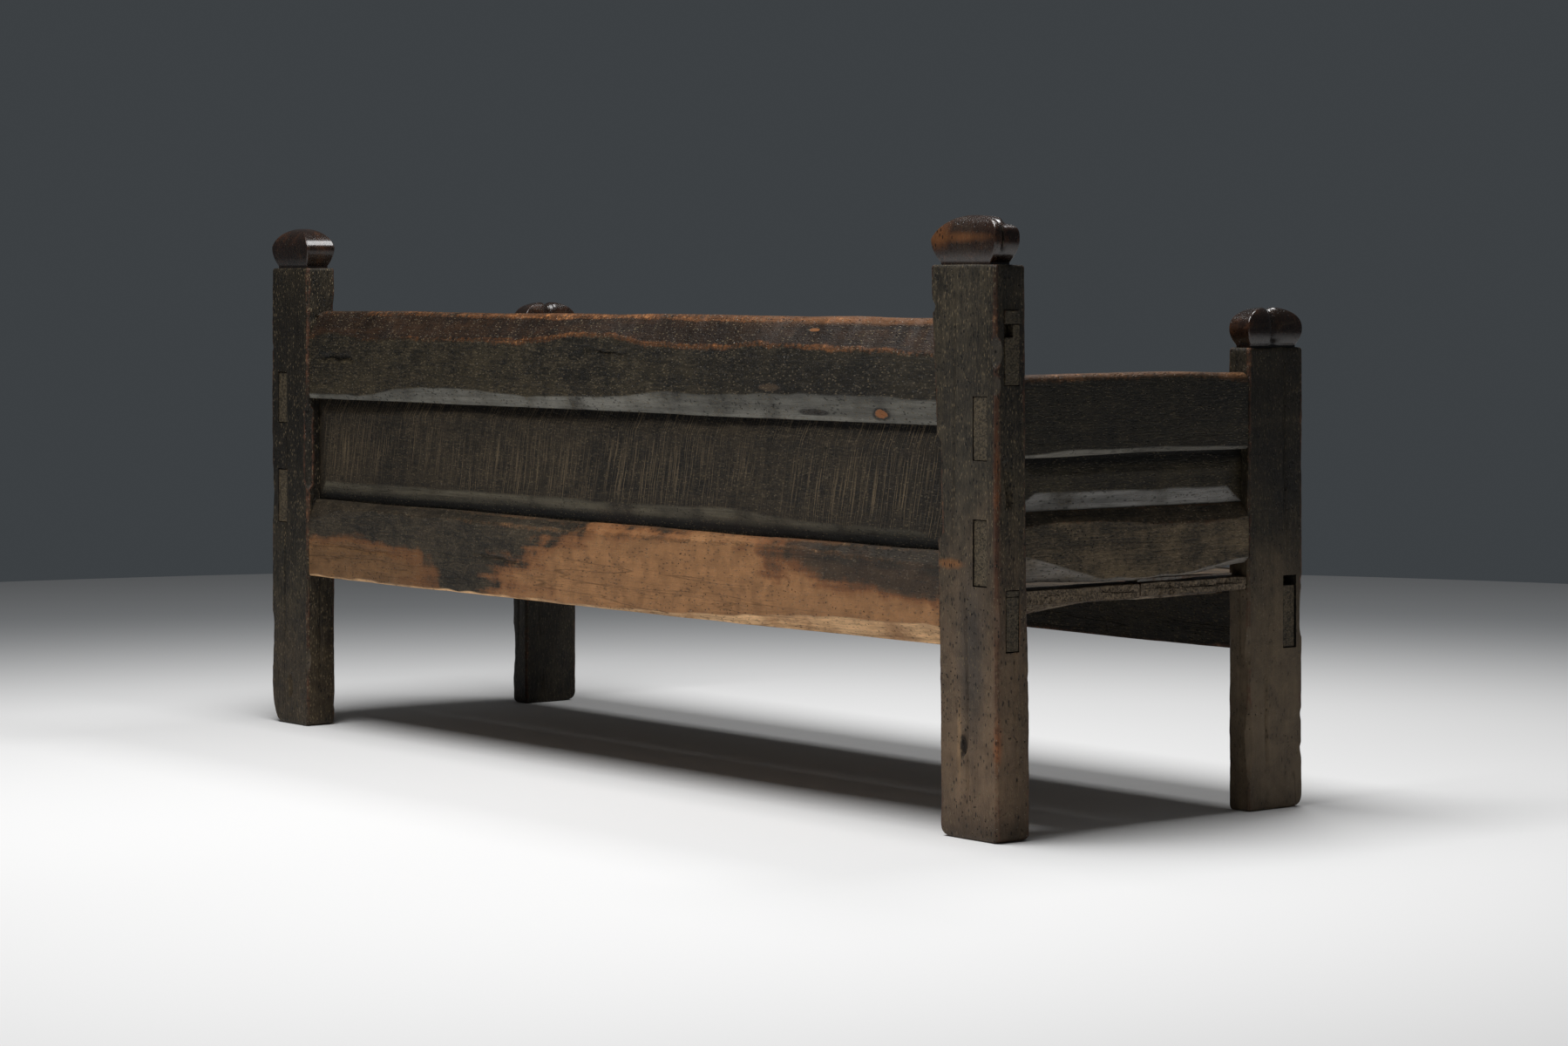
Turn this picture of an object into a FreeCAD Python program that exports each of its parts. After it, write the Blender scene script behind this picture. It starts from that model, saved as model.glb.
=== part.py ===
import FreeCAD, Part
import os

import Sketcher

# Rustic panelled bench: four posts with carved finials, a panelled back, panelled ends and a
# boarded seat, held by pegged and wedged through tenons. X runs along the seat, the back is on
# the +Y side, Z is up, and the origin is on the floor under the middle of the bench.
# Left and right are as seen from the front.

# Driving sizes in millimetres. Heights are measured from the floor.
SIZES = {
    "bench_length": 2000,
    "bench_depth": 642,
    "arris": 4,
    "rear_post_width": 126,
    "rear_post_depth": 60,
    "rear_shoulder": 826,
    "rear_swell": 864,
    "rear_top": 901,
    "front_post_width": 45,
    "front_post_depth": 118,
    "front_inset": 16,
    "front_shoulder": 701,
    "front_swell": 730,
    "front_top": 766,
    "neck_height": 3,
    "rear_neck_inset": 13,
    "rear_side_neck_inset": 7,
    "front_neck_inset": 8,
    "front_side_neck_inset": 10,
    "swell_band": 3,
    "crown_flat": 4,
    "foot_wear_small": 18,
    "foot_wear_height": 65,
    "foot_wear_width": 35,
    "foot_wear_radius": 75,
    "stop_chamfer": 12,
    "stop_chamfer_low": 425,
    "stop_chamfer_high": 585,
    "back_rail_thickness": 54,
    "back_line": 32,
    "top_rail_low": 593,
    "top_rail_high": 753,
    "wane_depth": 36,
    "wane_height": 50,
    "wane_radius": 70,
    "top_rail_chamfer_left": 40,
    "top_rail_chamfer_left_depth": 14,
    "top_rail_chamfer_right": 10,
    "top_rail_chamfer_right_depth": 6,
    "top_tenon_low": 655,
    "top_tenon_high": 743,
    "top_tenon_thickness": 28,
    "top_wedge_height": 20,
    "low_rail_low": 271,
    "low_rail_high": 412,
    "low_rail_bevel": 18,
    "low_rail_chamfer_left": 33,
    "low_rail_chamfer_start": 4,
    "low_rail_chamfer_reach": 300,
    "low_tenon_low": 273,
    "low_tenon_high": 352,
    "low_tenon_thickness": 24,
    "low_wedge_height": 9,
    "wedge_length": 45,
    "tenon_recess": 2,
    "arm_rail_low": 547,
    "arm_rail_high": 671,
    "arm_tenon_high": 639,
    "arm_edge_round": 9,
    "end_rail_low": 366,
    "end_rail_high": 471,
    "end_rail_lift": 11,
    "end_rail_bow": 2570,
    "end_tenon_high": 462,
    "end_rail_bevel": 16,
    "end_tenon_thickness": 30,
    "blind_tenon_thickness": 18,
    "blind_tenon_length": 78,
    "blind_tenon_shoulder": 16,
    "groove_depth": 12,
    "tongue_length": 11,
    "tongue_thickness": 10,
    "back_bevel_height": 30,
    "back_bevel_end": 33,
    "back_field_rise": 10,
    "end_bevel_height": 24,
    "end_bevel_end": 38,
    "end_field_rise": 7,
    "end_groove_low": 250,
    "front_rail_low": 233,
    "front_rail_thickness": 50,
    "front_tenon_low": 245,
    "front_tenon_high": 341,
    "front_tenon_thickness": 27,
    "front_tenon_gap": 14,
    "front_tenon_setback": 29,
    "front_rail_round": 12,
    "seat_top": 360,
    "seat_thickness": 26,
    "seat_edge_round": 8,
    "rear_board_width": 240,
    "board_gap": 1,
    "seat_tongue_length": 12,
    "seat_tongue_thickness": 14,
    "rebate_depth": 22,
    "bearer_width": 50,
    "bearer_place": 840,
    "bearer_rear_drop": 36,
    "bearer_front_drop": 22,
    "bearer_housing": 14,
    "peg_radius": 5.5,
    "peg_setback": 40,
    "peg_top_height": 683,
    "peg_low_height": 337,
    "peg_stub": 1,
    "fit_gap": 0.2,
}

LEFT = -1
RIGHT = 1
SMALLEST_CUT = 1.0

doc = FreeCAD.newDocument("PanelledBench")


class Size:
    """A length that carries its value and the sheet expression that gives it."""

    def __init__(self, value, text):
        self.value = float(value)
        self.text = text

    def join(self, other, sign, value):
        """Returns the size that comes of this one, an arithmetic sign and another."""
        return Size(value, f"({self.text} {sign} {size(other).text})")

    def __add__(self, other):
        return self.join(other, "+", self.value + size(other).value)

    def __sub__(self, other):
        return self.join(other, "-", self.value - size(other).value)

    def __mul__(self, other):
        return self.join(other, "*", self.value * size(other).value)

    def __truediv__(self, other):
        return self.join(other, "/", self.value / size(other).value)

    def __neg__(self):
        return self * -1


def size(value):
    """Returns a Size for a Size or a plain number."""
    if isinstance(value, Size):
        return value
    return Size(value, str(value))


def write_sheet():
    """Fills the sheet of driving sizes and returns each size by its name."""
    sheet = doc.addObject("Spreadsheet::Sheet", "Sizes")
    for row, (alias, value) in enumerate(SIZES.items(), start=1):
        sheet.set(f"A{row}", alias.replace("_", " "))
        sheet.set(f"B{row}", str(value))
        sheet.setAlias(f"B{row}", alias)
    doc.recompute()
    return {alias: Size(value, f"Sizes.{alias}") for alias, value in SIZES.items()}


S = write_sheet()
HALF_LENGTH = S["bench_length"] / 2
HALF_DEPTH = S["bench_depth"] / 2
REAR_POST_X = HALF_LENGTH - S["rear_post_width"] / 2
REAR_POST_Y = HALF_DEPTH - S["rear_post_depth"] / 2
FRONT_POST_X = HALF_LENGTH - S["front_inset"] - S["front_post_width"] / 2
FRONT_POST_Y = S["front_post_depth"] / 2 - HALF_DEPTH
BACK_INSIDE = HALF_LENGTH - S["rear_post_width"]
FRONT_INSIDE = HALF_LENGTH - S["front_inset"] - S["front_post_width"]
END_REAR_Y = HALF_DEPTH - S["rear_post_depth"]
END_FRONT_Y = S["front_post_depth"] - HALF_DEPTH
END_SPAN = END_REAR_Y - END_FRONT_Y
END_MIDDLE_Y = (END_REAR_Y + END_FRONT_Y) / 2
BACK_LINE_Y = HALF_DEPTH - S["back_line"]
FRONT_RAIL_Y = S["front_tenon_setback"] - HALF_DEPTH
GROOVE_WIDTH = S["tongue_thickness"] + S["fit_gap"] * 2
SEAT_UNDER = S["seat_top"] - S["seat_thickness"]


def start_body(label, x, y, z):
    """Starts a piece whose own origin stands at x, y, z."""
    body = doc.addObject("PartDesign::Body", label)
    body.Label = label
    for axis, place in zip("xyz", (x, y, z)):
        body.setExpression(f"Placement.Base.{axis}", size(place).text)
    return body


def sketch_on(body, role, name, offset=0):
    """Starts a sketch on one of the piece's own origin planes, moved along its normal."""
    plane = next(part for part in body.Origin.OriginFeatures if part.Role == role)
    sketch = body.newObject("Sketcher::SketchObject", name)
    sketch.AttachmentSupport = [(plane, "")]
    sketch.MapMode = "FlatFace"
    sketch.setExpression("AttachmentOffset.Base.z", size(offset).text)
    return sketch


def bind(sketch, kind, place, length):
    """Adds a dimension at a geometry's point and binds it to the sheet."""
    number = sketch.addConstraint(Sketcher.Constraint(kind, *place, length.value))
    sketch.setExpression(f"Constraints[{number}]", length.text)


def arc_between(start, end, radius):
    """Returns the short arc from start to end whose centre lies on the left of that way."""
    chord = end - start
    middle = (start + end) / 2
    leftward = FreeCAD.Vector(-chord.y, chord.x, 0).normalize()
    centre = middle + leftward * max(radius ** 2 - chord.Length ** 2 / 4, 0) ** 0.5
    bulge = middle - leftward * (radius - (centre - middle).Length)
    return Part.Arc(start, bulge, end)


def draw_outline(sketch, corners, arcs=None):
    """Draws a closed outline. A side whose number is in arcs bends outwards at that radius.

    Corners run anticlockwise round a solid; a hollow side has its radius negative.
    """
    arcs = arcs or {}
    points = [FreeCAD.Vector(size(x).value, size(y).value, 0) for x, y in corners]
    ends = []
    for number, start in enumerate(points):
        end = points[(number + 1) % len(points)]
        radius = arcs.get(number)
        if radius is None:
            sketch.addGeometry(Part.LineSegment(start, end), False)
            ends.append((1, 2))
        elif radius.value > 0:
            sketch.addGeometry(arc_between(start, end, radius.value), False)
            ends.append((1, 2))
        else:
            sketch.addGeometry(arc_between(end, start, -radius.value), False)
            ends.append((2, 1))
    for number, (first, last) in enumerate(ends):
        following = (number + 1) % len(ends)
        sketch.addConstraint(
            Sketcher.Constraint("Coincident", number, last, following, ends[following][0]))
    for number, (x, y) in enumerate(corners):
        bind(sketch, "DistanceX", (number, ends[number][0]), size(x))
        bind(sketch, "DistanceY", (number, ends[number][0]), size(y))
    for number, radius in arcs.items():
        bind(sketch, "Radius", (number,), radius if radius.value > 0 else -radius)
    return sketch


def box_sketch(body, role, name, low, high, offset=0):
    """Draws a rectangle from its low corner to its high corner."""
    corners = [(low[0], low[1]), (high[0], low[1]), (high[0], high[1]), (low[0], high[1])]
    return draw_outline(sketch_on(body, role, name, offset), corners)


def pad(body, sketch, length, both_ways=True, backwards=False):
    """Grows the piece from a sketch, half each way or to one side."""
    feature = body.newObject("PartDesign::Pad", sketch.Name + "Pad")
    feature.Profile = sketch
    feature.SideType = "Symmetric" if both_ways else "One side"
    feature.Reversed = backwards
    feature.setExpression("Length", size(length).text)
    doc.recompute()
    return feature


def check_cut(body, volume, name):
    """Stops the build if a cut took nothing away."""
    doc.recompute()
    if volume - body.Shape.Volume < SMALLEST_CUT:
        raise RuntimeError(f"{body.Label}: {name} cuts nothing")


def cut(body, sketch, depth=None, backwards=False):
    """Cuts a sketch out of the piece, right through or to a depth."""
    volume = body.Shape.Volume
    feature = body.newObject("PartDesign::Pocket", sketch.Name + "Cut")
    feature.Profile = sketch
    feature.Reversed = backwards
    if depth is None:
        feature.SideType = "Symmetric"
        feature.Type = "ThroughAll"
    else:
        feature.setExpression("Length", size(depth).text)
    check_cut(body, volume, sketch.Label)
    return feature


def loft(body, kind, first, last):
    """Joins two sketches by a ruled loft that adds to the piece or takes from it."""
    volume = body.Shape.Volume
    feature = body.newObject(f"PartDesign::{kind}Loft", first.Name + "Loft")
    feature.Profile = first
    feature.Sections = [last]
    feature.Ruled = True
    if kind == "Subtractive":
        check_cut(body, volume, first.Label)
    doc.recompute()
    return feature


def round_hole(body, name, x, z, radius):
    """Bores a round hole through the piece along Y."""
    sketch = sketch_on(body, "XZ_Plane", name)
    sketch.addGeometry(
        Part.Circle(FreeCAD.Vector(x.value, z.value, 0), FreeCAD.Vector(0, 0, 1), radius.value), False)
    bind(sketch, "DistanceX", (0, 3), x)
    bind(sketch, "DistanceY", (0, 3), z)
    bind(sketch, "Radius", (0,), radius)
    return cut(body, sketch)


def carve_finial(body, role, name, half_width, inset, shoulder, swell, top):
    """Cuts one profile of a finial: a neck, a flared underside and a crown arched over.

    Two such cuts that cross give the finial its four curved faces and their creases. The arch
    is level at the top of a wide finial, and upright at the foot of a slim one.
    """
    clear = half_width + S["arris"] * 2
    neck = half_width - inset
    flare = shoulder + S["neck_height"]
    spring = swell + S["swell_band"]
    flat = S["crown_flat"] / 2
    run = half_width - flat
    rise = top - spring
    longer = rise if run.value > rise.value else run
    crown = (run * run + rise * rise) / (longer * 2)
    over = top + S["arris"]
    corners = [
        (-clear, shoulder), (-neck, shoulder), (-neck, flare), (-half_width, swell),
        (-half_width, spring), (-flat, top), (flat, top),
        (half_width, spring), (half_width, swell), (neck, flare), (neck, shoulder),
        (clear, shoulder), (clear, over), (-clear, over)]
    left_crown = 4
    right_crown = 6
    sketch = draw_outline(sketch_on(body, role, name), corners, {left_crown: -crown, right_crown: -crown})
    return cut(body, sketch)


def rounded_post(label, x, y, width, depth, top):
    """Starts a post: a rectangle with softened arrises, drawn up to its top."""
    body = start_body(label, x, y, 0)
    soft = S["arris"]
    right = width / 2
    back = depth / 2
    corners = [
        (-right + soft, -back), (right - soft, -back), (right, -back + soft), (right, back - soft),
        (right - soft, back), (-right + soft, back), (-right, back - soft), (-right, -back + soft)]
    pad(body, draw_outline(sketch_on(body, "XY_Plane", "PostOutline"), corners,
                           {1: soft, 3: soft, 5: soft, 7: soft}), top, both_ways=False)
    return body


def wear_foot(body, role, outer, wide, high, radius, toward):
    """Rounds off one bottom corner of a post, worn by dragging over stone floors.

    outer is the face the corner lies on, and toward is the sign of that face.
    """
    beyond = outer + size(toward) * S["arris"]
    under = -S["arris"]
    inner = outer - size(toward) * wide
    corners = [(beyond, under), (beyond, high), (outer, high), (inner, 0), (inner, under)]
    bulging_side = 2
    if toward < 0:
        sketch = draw_outline(sketch_on(body, role, "FootWear"), corners, {bulging_side: radius})
    else:
        sketch = draw_outline(sketch_on(body, role, "FootWear"), corners, {bulging_side: -radius})
    return cut(body, sketch)


def rear_post(label, side):
    """A tall rear post: finial, through mortises, panel grooves, peg holes and a wedge slot."""
    width = S["rear_post_width"]
    depth = S["rear_post_depth"]
    post = rounded_post(label, REAR_POST_X * side, REAR_POST_Y, width, depth, S["rear_top"])
    carve_finial(post, "XZ_Plane", "FinialFront", width / 2, S["rear_neck_inset"], S["rear_shoulder"],
                 S["rear_swell"], S["rear_top"])
    carve_finial(post, "YZ_Plane", "FinialSide", depth / 2, S["rear_side_neck_inset"], S["rear_shoulder"],
                 S["rear_swell"], S["rear_top"])
    line = BACK_LINE_Y - REAR_POST_Y
    gap = S["fit_gap"]
    for name, thickness, low, high, wedge in (
            ("TopMortise", S["top_tenon_thickness"], S["top_tenon_low"], S["top_tenon_high"],
             S["top_wedge_height"]),
            ("LowMortise", S["low_tenon_thickness"], S["low_tenon_low"], S["low_tenon_high"],
             S["low_wedge_height"])):
        left = line - thickness / 2 - gap
        right = line + thickness / 2 + gap
        cut(post, box_sketch(post, "YZ_Plane", name, (left, low - gap), (right, high + gap)))
        outside = box_sketch(post, "YZ_Plane", name + "Wedge", (left, high), (right, high + wedge),
                             width / 2 * side)
        cut(post, outside, S["wedge_length"], backwards=side == LEFT)
    arm_x = (FRONT_POST_X - REAR_POST_X) * side
    half = S["end_tenon_thickness"] / 2 + gap
    for name, low, high in (("ArmMortise", S["arm_rail_low"], S["arm_tenon_high"]),
                            ("EndMortise", S["end_rail_low"], S["end_tenon_high"])):
        cut(post, box_sketch(post, "XZ_Plane", name, (arm_x - half, low - gap), (arm_x + half, high + gap)))
    deep = S["groove_depth"]
    inside = box_sketch(post, "YZ_Plane", "BackGroove",
                        (line - GROOVE_WIDTH / 2, S["low_rail_high"] - deep),
                        (line + GROOVE_WIDTH / 2, S["top_rail_low"] + deep), width / -2 * side)
    cut(post, inside, deep, backwards=side == RIGHT)
    front = box_sketch(post, "XZ_Plane", "EndGroove",
                       (arm_x - GROOVE_WIDTH / 2, S["end_rail_high"] - deep),
                       (arm_x + GROOVE_WIDTH / 2, S["arm_rail_low"] + deep), depth / 2)
    cut(post, front, deep)
    bored = S["peg_radius"] + gap
    for name, height in (("TopPeg", S["peg_top_height"]), ("LowPeg", S["peg_low_height"])):
        round_hole(post, name, (S["peg_setback"] - width / 2) * side, height, bored)
    corner_x = width / -2 * side
    corner_y = depth / 2
    across = S["stop_chamfer"] * side
    chamfer = [(corner_x, corner_y - S["stop_chamfer"]), (corner_x, corner_y),
               (corner_x + across, corner_y)]
    arris = draw_outline(sketch_on(post, "XY_Plane", "StoppedChamfer", S["stop_chamfer_high"]), chamfer)
    cut(post, arris, S["stop_chamfer_high"] - S["stop_chamfer_low"])
    if side == LEFT:
        small = S["foot_wear_small"]
        wear_foot(post, "XZ_Plane", width / 2, small, small, small, 1)
    else:
        wear_foot(post, "XZ_Plane", width / 2, S["foot_wear_width"], S["foot_wear_height"],
                  S["foot_wear_radius"], 1)
    return post


def front_post(label, side):
    """A short front post: finial, one through mortise, two blind mortises and a panel groove."""
    width = S["front_post_width"]
    depth = S["front_post_depth"]
    post = rounded_post(label, FRONT_POST_X * side, FRONT_POST_Y, width, depth, S["front_top"])
    carve_finial(post, "YZ_Plane", "FinialSide", depth / 2, S["front_side_neck_inset"],
                 S["front_shoulder"], S["front_swell"], S["front_top"])
    carve_finial(post, "XZ_Plane", "FinialFront", width / 2, S["front_neck_inset"], S["front_shoulder"],
                 S["front_swell"], S["front_top"])
    gap = S["fit_gap"]
    line = FRONT_RAIL_Y - FRONT_POST_Y
    half = S["front_tenon_thickness"] / 2 + gap
    cut(post, box_sketch(post, "YZ_Plane", "SeatRailMortise", (line - half, S["front_tenon_low"] - gap),
                         (line + half, S["front_tenon_high"] + S["front_tenon_gap"])))
    half = S["blind_tenon_thickness"] / 2 + gap
    inner_face = depth / -2
    for name, low, high in (
            ("ArmMortise", S["arm_rail_low"] + S["blind_tenon_shoulder"], S["arm_tenon_high"]),
            ("EndMortise", S["end_rail_low"] + S["blind_tenon_shoulder"], S["end_tenon_high"])):
        blind = box_sketch(post, "XZ_Plane", name, (-half, low - gap), (half, high + gap), inner_face)
        cut(post, blind, S["blind_tenon_length"] + S["tenon_recess"], backwards=True)
    groove = box_sketch(post, "XZ_Plane", "EndGroove", (GROOVE_WIDTH / -2, S["end_groove_low"]),
                        (GROOVE_WIDTH / 2, S["arm_rail_low"] + S["groove_depth"]), inner_face)
    cut(post, groove, S["groove_depth"], backwards=True)
    small = S["foot_wear_small"]
    wear_foot(post, "YZ_Plane", inner_face, small, small, small, -1)
    return post


def back_rail_wane(rail, name, left, right, reach):
    """Hews the lower back edge away, more at the left end than at the other end of the cut.

    left and right are the depth and the height of the cut at those ends.
    """
    back = S["back_rail_thickness"] / 2
    over = S["arris"]
    sections = []
    for end, (deep, high), place in (("Left", left, -BACK_INSIDE), ("Right", right, reach)):
        corners = [(back - deep, -over), (back + over, -over), (back + over, high),
                   (back, high), (back - deep, 0)]
        sections.append(draw_outline(sketch_on(rail, "YZ_Plane", name + end, place), corners))
    return loft(rail, "Subtractive", *sections)


def through_tenon(rail, thickness, low, high, half_reach):
    """Runs a tenon through the whole rail, as far as half_reach each way."""
    line = BACK_LINE_Y - REAR_POST_Y
    section = box_sketch(rail, "YZ_Plane", "Tenon", (line - thickness / 2, low), (line + thickness / 2, high))
    return pad(rail, section, half_reach * 2)


def panel_groove(rail, low, high):
    """Ploughs the groove for the back panel along a back rail."""
    line = BACK_LINE_Y - REAR_POST_Y
    half = GROOVE_WIDTH / 2
    return cut(rail, box_sketch(rail, "YZ_Plane", "PanelGroove", (line - half, low), (line + half, high)))


def bore_tenon(rail, height):
    """Bores the peg hole through both tenons of a back rail."""
    for side, name in ((LEFT, "PegLeft"), (RIGHT, "PegRight")):
        place = (BACK_INSIDE + S["peg_setback"]) * side
        round_hole(rail, name, place, height, S["peg_radius"] + S["fit_gap"])


def back_top_rail():
    """The top rail of the back, with the rounded wane of the log along its upper back edge."""
    rail = start_body("back_top_rail", 0, REAR_POST_Y, S["top_rail_low"])
    base = S["top_rail_low"]
    reach = HALF_LENGTH - S["tenon_recess"]
    through_tenon(rail, S["top_tenon_thickness"], S["top_tenon_low"] - base,
                  S["top_tenon_high"] - base, reach)
    back = S["back_rail_thickness"] / 2
    high = S["top_rail_high"] - base
    corners = [(-back, 0), (back, 0), (back, high - S["wane_height"]), (back - S["wane_depth"], high),
               (-back, high)]
    wane_side = 2
    section = draw_outline(sketch_on(rail, "YZ_Plane", "Section"), corners, {wane_side: S["wane_radius"]})
    pad(rail, section, BACK_INSIDE * 2)
    left = (S["top_rail_chamfer_left_depth"], S["top_rail_chamfer_left"])
    right = (S["top_rail_chamfer_right_depth"], S["top_rail_chamfer_right"])
    back_rail_wane(rail, "LowerWane", left, right, BACK_INSIDE)
    panel_groove(rail, -S["arris"], S["groove_depth"])
    bore_tenon(rail, S["peg_top_height"] - base)
    return rail


def back_bottom_rail():
    """The bottom rail of the back: panel groove above, seat groove and bearer mortises in front."""
    rail = start_body("back_bottom_rail", 0, REAR_POST_Y, S["low_rail_low"])
    base = S["low_rail_low"]
    reach = HALF_LENGTH - S["tenon_recess"]
    through_tenon(rail, S["low_tenon_thickness"], S["low_tenon_low"] - base,
                  S["low_tenon_high"] - base, reach)
    back = S["back_rail_thickness"] / 2
    high = S["low_rail_high"] - base
    bevel = S["low_rail_bevel"]
    corners = [(-back, 0), (back, 0), (back, high - bevel), (back - bevel, high), (-back, high)]
    section = draw_outline(sketch_on(rail, "YZ_Plane", "Section"), corners)
    pad(rail, section, BACK_INSIDE * 2)
    left = (S["low_rail_chamfer_left"], S["low_rail_chamfer_left"])
    right = (S["low_rail_chamfer_start"], S["low_rail_chamfer_start"])
    back_rail_wane(rail, "LowerWane", left, right, S["low_rail_chamfer_reach"])
    panel_groove(rail, high - S["groove_depth"], high + S["arris"])
    middle = S["seat_top"] - S["seat_thickness"] / 2 - base
    half = S["seat_tongue_thickness"] / 2 + S["fit_gap"]
    tongue_room = S["seat_tongue_length"] + S["tenon_recess"]
    seat = box_sketch(rail, "XZ_Plane", "SeatGroove", (-BACK_INSIDE, middle - half),
                      (BACK_INSIDE, middle + half), back)
    cut(rail, seat, tongue_room)
    bearer_mortises(rail, back, False)
    bore_tenon(rail, S["peg_low_height"] - base)
    return rail


def bearer_mortises(rail, face, backwards):
    """Houses the seat bearers in a rail's inner face."""
    base = S["front_rail_low"] if backwards else S["low_rail_low"]
    drop = S["bearer_front_drop"] if backwards else S["bearer_rear_drop"]
    half = S["bearer_width"] / 2 + S["fit_gap"]
    for number in (LEFT, 0, RIGHT):
        place = S["bearer_place"] * number
        low = SEAT_UNDER - drop - S["fit_gap"] - base
        housing = box_sketch(rail, "XZ_Plane", f"Housing{number + 1}", (place - half, low),
                             (place + half, SEAT_UNDER - base), face)
        cut(rail, housing, S["bearer_housing"], backwards=backwards)


def back_panel():
    """The long back panel: a thin tongue all round and a field raised towards the back."""
    panel = start_body("back_panel", 0, BACK_LINE_Y, S["low_rail_high"])
    open_height = S["top_rail_low"] - S["low_rail_high"]
    tongue = S["tongue_length"]
    board = box_sketch(panel, "XZ_Plane", "Tongue", (-BACK_INSIDE - tongue, -tongue),
                       (BACK_INSIDE + tongue, open_height + tongue))
    pad(panel, board, S["tongue_thickness"])
    face = S["tongue_thickness"] / -2
    end = BACK_INSIDE - S["back_bevel_end"]
    bevel = S["back_bevel_height"]
    foot = box_sketch(panel, "XZ_Plane", "BevelFoot", (-BACK_INSIDE, 0), (BACK_INSIDE, open_height), face)
    field = box_sketch(panel, "XZ_Plane", "Field", (-end, bevel), (end, open_height - bevel),
                       face - S["back_field_rise"])
    loft(panel, "Additive", foot, field)
    return panel


def end_tenons(rail, base, low, high):
    """Adds a rail's through tenon at the rear post and its blind tenon at the front post."""
    half = S["end_tenon_thickness"] / 2
    rear = box_sketch(rail, "XZ_Plane", "RearTenon", (-half, low - base), (half, high - base), END_SPAN / -2)
    pad(rail, rear, S["rear_post_depth"] - S["tenon_recess"], both_ways=False, backwards=True)
    half = S["blind_tenon_thickness"] / 2
    low = low + S["blind_tenon_shoulder"]
    front = box_sketch(rail, "XZ_Plane", "FrontTenon", (-half, low - base), (half, high - base), END_SPAN / 2)
    return pad(rail, front, S["blind_tenon_length"], both_ways=False)


def end_groove(rail, low, high):
    """Ploughs the groove for the end panel along an end rail and a little way into its tenons."""
    half = GROOVE_WIDTH / 2
    reach = END_SPAN / 2 + S["groove_depth"]
    groove = box_sketch(rail, "XZ_Plane", "PanelGroove", (-half, low), (half, high), reach)
    return cut(rail, groove, reach * 2)


def arm_rail(label, side):
    """The upper end rail that serves as an armrest, its top edges worn round."""
    base = S["arm_rail_low"]
    rail = start_body(label, FRONT_POST_X * side, END_MIDDLE_Y, base)
    half = S["front_post_width"] / 2
    high = S["arm_rail_high"] - base
    worn = S["arm_edge_round"]
    corners = [(-half, 0), (half, 0), (half, high - worn), (half - worn, high), (-half + worn, high),
               (-half, high - worn)]
    section = draw_outline(sketch_on(rail, "XZ_Plane", "Section"), corners, {2: worn, 4: worn})
    pad(rail, section, END_SPAN)
    end_tenons(rail, base, base, S["arm_tenon_high"])
    end_groove(rail, -S["arris"], S["groove_depth"])
    return rail


def end_rail(label, side):
    """The lower end rail: its bottom edge bows down and its outer top edge is bevelled."""
    base = S["end_rail_low"]
    rail = start_body(label, FRONT_POST_X * side, END_MIDDLE_Y, base)
    half = END_SPAN / 2
    high = S["end_rail_high"] - base
    corners = [(-half, S["end_rail_lift"]), (half, 0), (half, high), (-half, high)]
    bowed_side = 0
    elevation = draw_outline(sketch_on(rail, "YZ_Plane", "Elevation"), corners,
                             {bowed_side: S["end_rail_bow"]})
    pad(rail, elevation, S["front_post_width"])
    outer = S["front_post_width"] / 2 * side
    bevel = S["end_rail_bevel"]
    over = S["arris"]
    beyond = outer + size(side) * over
    inner = outer - size(side) * bevel
    corner = [(beyond, high - bevel), (beyond, high + over), (inner, high + over), (inner, high),
              (outer, high - bevel)]
    edge = draw_outline(sketch_on(rail, "XZ_Plane", "TopBevel", half), corner)
    cut(rail, edge, END_SPAN)
    end_tenons(rail, base, base, S["end_tenon_high"])
    end_groove(rail, high - S["groove_depth"], high + over)
    return rail


def end_panel(label, side):
    """A short fielded panel between the end rails, its field raised outwards."""
    panel = start_body(label, FRONT_POST_X * side, END_MIDDLE_Y, S["end_rail_high"])
    open_height = S["arm_rail_low"] - S["end_rail_high"]
    half = END_SPAN / 2
    tongue = S["tongue_length"]
    board = box_sketch(panel, "YZ_Plane", "Tongue", (-half - tongue, -tongue),
                       (half + tongue, open_height + tongue))
    pad(panel, board, S["tongue_thickness"])
    face = S["tongue_thickness"] / 2
    end = half - S["end_bevel_end"]
    bevel = S["end_bevel_height"]
    foot = box_sketch(panel, "YZ_Plane", "BevelFoot", (-half, 0), (half, open_height), face * side)
    field = box_sketch(panel, "YZ_Plane", "Field", (-end, bevel), (end, open_height - bevel),
                       (face + S["end_field_rise"]) * side)
    loft(panel, "Additive", foot, field)
    return panel


def front_seat_rail():
    """The front rail: through tenons, a rebate for the front board and bearer housings."""
    base = S["front_rail_low"]
    rail = start_body("front_seat_rail", 0, FRONT_RAIL_Y, base)
    half = S["front_tenon_thickness"] / 2
    tenon = box_sketch(rail, "YZ_Plane", "Tenon", (-half, S["front_tenon_low"] - base),
                       (half, S["front_tenon_high"] - base))
    pad(rail, tenon, (HALF_LENGTH - S["front_inset"] - S["tenon_recess"]) * 2)
    back = S["front_rail_thickness"] / 2
    high = S["seat_top"] - base
    worn = S["front_rail_round"]
    corners = [(-back, 0), (back, 0), (back, high), (-back + worn, high), (-back, high - worn)]
    worn_side = 3
    section = draw_outline(sketch_on(rail, "YZ_Plane", "Section"), corners, {worn_side: worn})
    pad(rail, section, FRONT_INSIDE * 2)
    over = S["arris"]
    rebate = box_sketch(rail, "YZ_Plane", "SeatRebate", (back - S["rebate_depth"], SEAT_UNDER - base),
                        (back + over, high + over))
    cut(rail, rebate)
    bearer_mortises(rail, -back, True)
    return rail


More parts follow.
